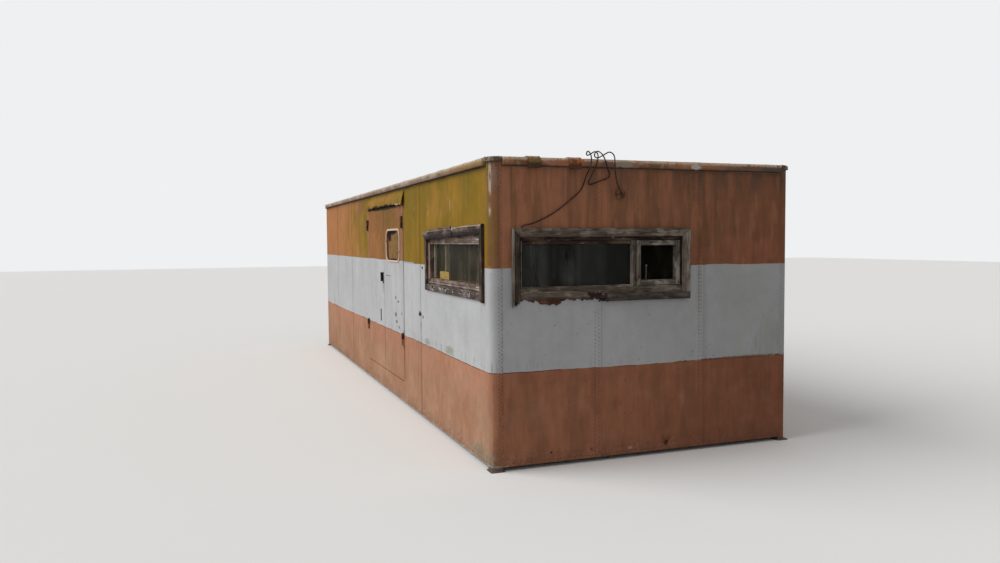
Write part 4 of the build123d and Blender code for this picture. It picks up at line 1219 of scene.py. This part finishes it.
# The hood over it: planks with slanting ends, by their four corners as run and height
hoodPlanks = {
    "sideHoodNear": (((0.131, 1.725), (0.183, 1.653), (0.850, 1.635), (0.835, 1.708)), 0.027,
                     "hood"),
    "sideHoodFar": (((0.820, 1.703), (0.825, 1.634), (1.600, 1.615), (1.700, 1.687)), 0.031,
                    "hood"),
    "sideHoodStrip": (((0.870, 1.722), (0.880, 1.699), (1.500, 1.684), (1.540, 1.704)), 0.024,
                      "rose"),
}
for name, (spots, proud, finish) in hoodPlanks.items():
    runs, heights = [s for s, z in spots], [z for s, z in spots]
    low, high = sideBox(min(runs), max(runs), min(heights), max(heights), 0.0, proud)
    start = ((high[0], high[2]), (high[0], low[2]), (low[0], low[2]), (low[0], high[2]))
    moves = [(a, (endX - s - a[0], 0, z - a[1])) for a, (s, z) in zip(start, spots)]
    plank = oldBoard(name, (low, high), 0, 0.006, 0.008, 0.016, 0.010, moves)
    fray(plank, 0, False, 0.03, 0.012)
    finishPiece(plank, timber(finish, 0), "cabin", 50)
    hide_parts("side_window_hood")

# Small things on and behind it: brackets, daubs, posts of an inner frame and a plain card box
for name, height in (("sideBracketTop", 1.608), ("sideBracketLow", 1.262)):
    plate = oldBoard(name, sideBox(0.268, 0.346, height, height + 0.011, -0.016, -0.009), 0, 0.0006,
                     0.001)
    finishPiece(plate, oldPutty, "cabin")
for name, box in (("sidePostFar", (1.539, 1.549, 1.286, 1.588, -0.066, -0.043)),
                  ("sidePostNear", (1.241, 1.271, 1.286, 1.600, -0.090, -0.056))):
    post = oldBoard(name, sideBox(*box), 2, 0.002, 0.002)
    finishPiece(post, innerPaint, "cabin")
cardBox = oldBoard("sideCardBox", sideBox(1.135, 1.395, 1.286, 1.352, -0.062, -0.047), 0, 0.002,
                   0.002, 0.01, 0.01)
finishPiece(cardBox, cardPaper, "cabin")
blob("sideDaub", (2.723, -1.270, 1.208), (0.012, 0.004, 0.012), oldPutty)
blob("sideFleck", (3.330, -1.269, 1.214), (0.007, 0.003, 0.022), oldPutty)
blob("sideKnob", (2.339, -1.270, 1.222), (0.013, 0.008, 0.013), mossKnob)
blob("sideHoodPatch", (2.938, -1.277, 1.700), (0.016, 0.004, 0.018), oldPutty)
blob("sideBolt", (1.9445, -1.251, 1.3687), (0.012, 0.006, 0.012), darkIron)
print("side window made:", len(sideBoards) + len(hoodPlanks), "boards")


# Door hood: its lower edge is beaten wavy
hoodWear = {"wave": 0.030, "size": 0.130, "low": 1.975, "reach": 0.060, "step": 0.024,
            "hang": 0.024, "end": 1.32, "hangsFrom": 0.85}


def nearEdge(co):
    return 1 - (co.z - hoodWear["low"]) / hoodWear["reach"]


doorHood = copyOfNode("door_hood", "wavyDoorHood")
cutThrough(doorHood, 0, hoodWear["step"])
cutThrough(doorHood, 2, 0.012)
push(doorHood, hoodWear["wave"], hoodWear["size"], level=0.25, along="Z", weight=nearEdge,
     contrast=1.8)
push(doorHood, -hoodWear["wave"], hoodWear["size"], (1, 1, 1.7), 0.9, "Y",
     lambda co: nearEdge(co) * min(1, (hoodWear["end"] - co.x) / 0.25), 1.8)
push(doorHood, -hoodWear["hang"], None, level=0.0, along="Z",
     weight=lambda co: nearEdge(co) * (co.x - hoodWear["hangsFrom"]) / 0.40)
finishPiece(doorHood, sheetPaint, "cabin", 40)
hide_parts("door_hood")

# Rim of the near leaf's window: a bent strip with round corners
rim = {"corner": 0.092, "width": 0.020, "edge": 0.003}
spans = [extent(nodes["door_port_rim"], axis) for axis in range(3)]
portRim = addBlock("roundPortRim", [span[0] for span in spans], [span[1] for span in spans])
openMesh(portRim)
pick(portRim, "EDGE", lambda edge: isAlong(edge, 1))
bpy.ops.mesh.bevel(offset=rim["corner"], segments=12)
pick(portRim, "FACE", lambda face: abs(face.normal.y) > 0.9)
bpy.ops.mesh.inset(thickness=rim["width"])
bpy.ops.mesh.bridge_edge_loops()
pick(portRim, "EDGE",
     lambda edge: edge.calc_face_angle(0) > 1.2 and edge.verts[0].co.y < spans[1][0] + nearly)
bpy.ops.mesh.bevel(offset=rim["edge"], segments=2)
closeMesh()
finishPiece(portRim, rimPink, "door_near")
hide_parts("door_port_rim")

# Web of the pull on the far leaf, between its plate and its grip
web = oldBoard("doorHandleWeb", sideBox(3.413, 3.427, 1.188, 1.270, 0.003, 0.026), 2, 0.002, 0.003)
finishPiece(web, darkIron, "door_far")

# Old sealing in the joint beside the door frame, from the roof edge down
seal = oldBoard("doorSeal", sideBox(2.487, 2.494, 0.260, 2.108, 0.0, 0.003), 2, 0.002, 0.001, 0.02,
                0.004)
finishPiece(seal, sealBead, "cabin")
print("door trimmed")
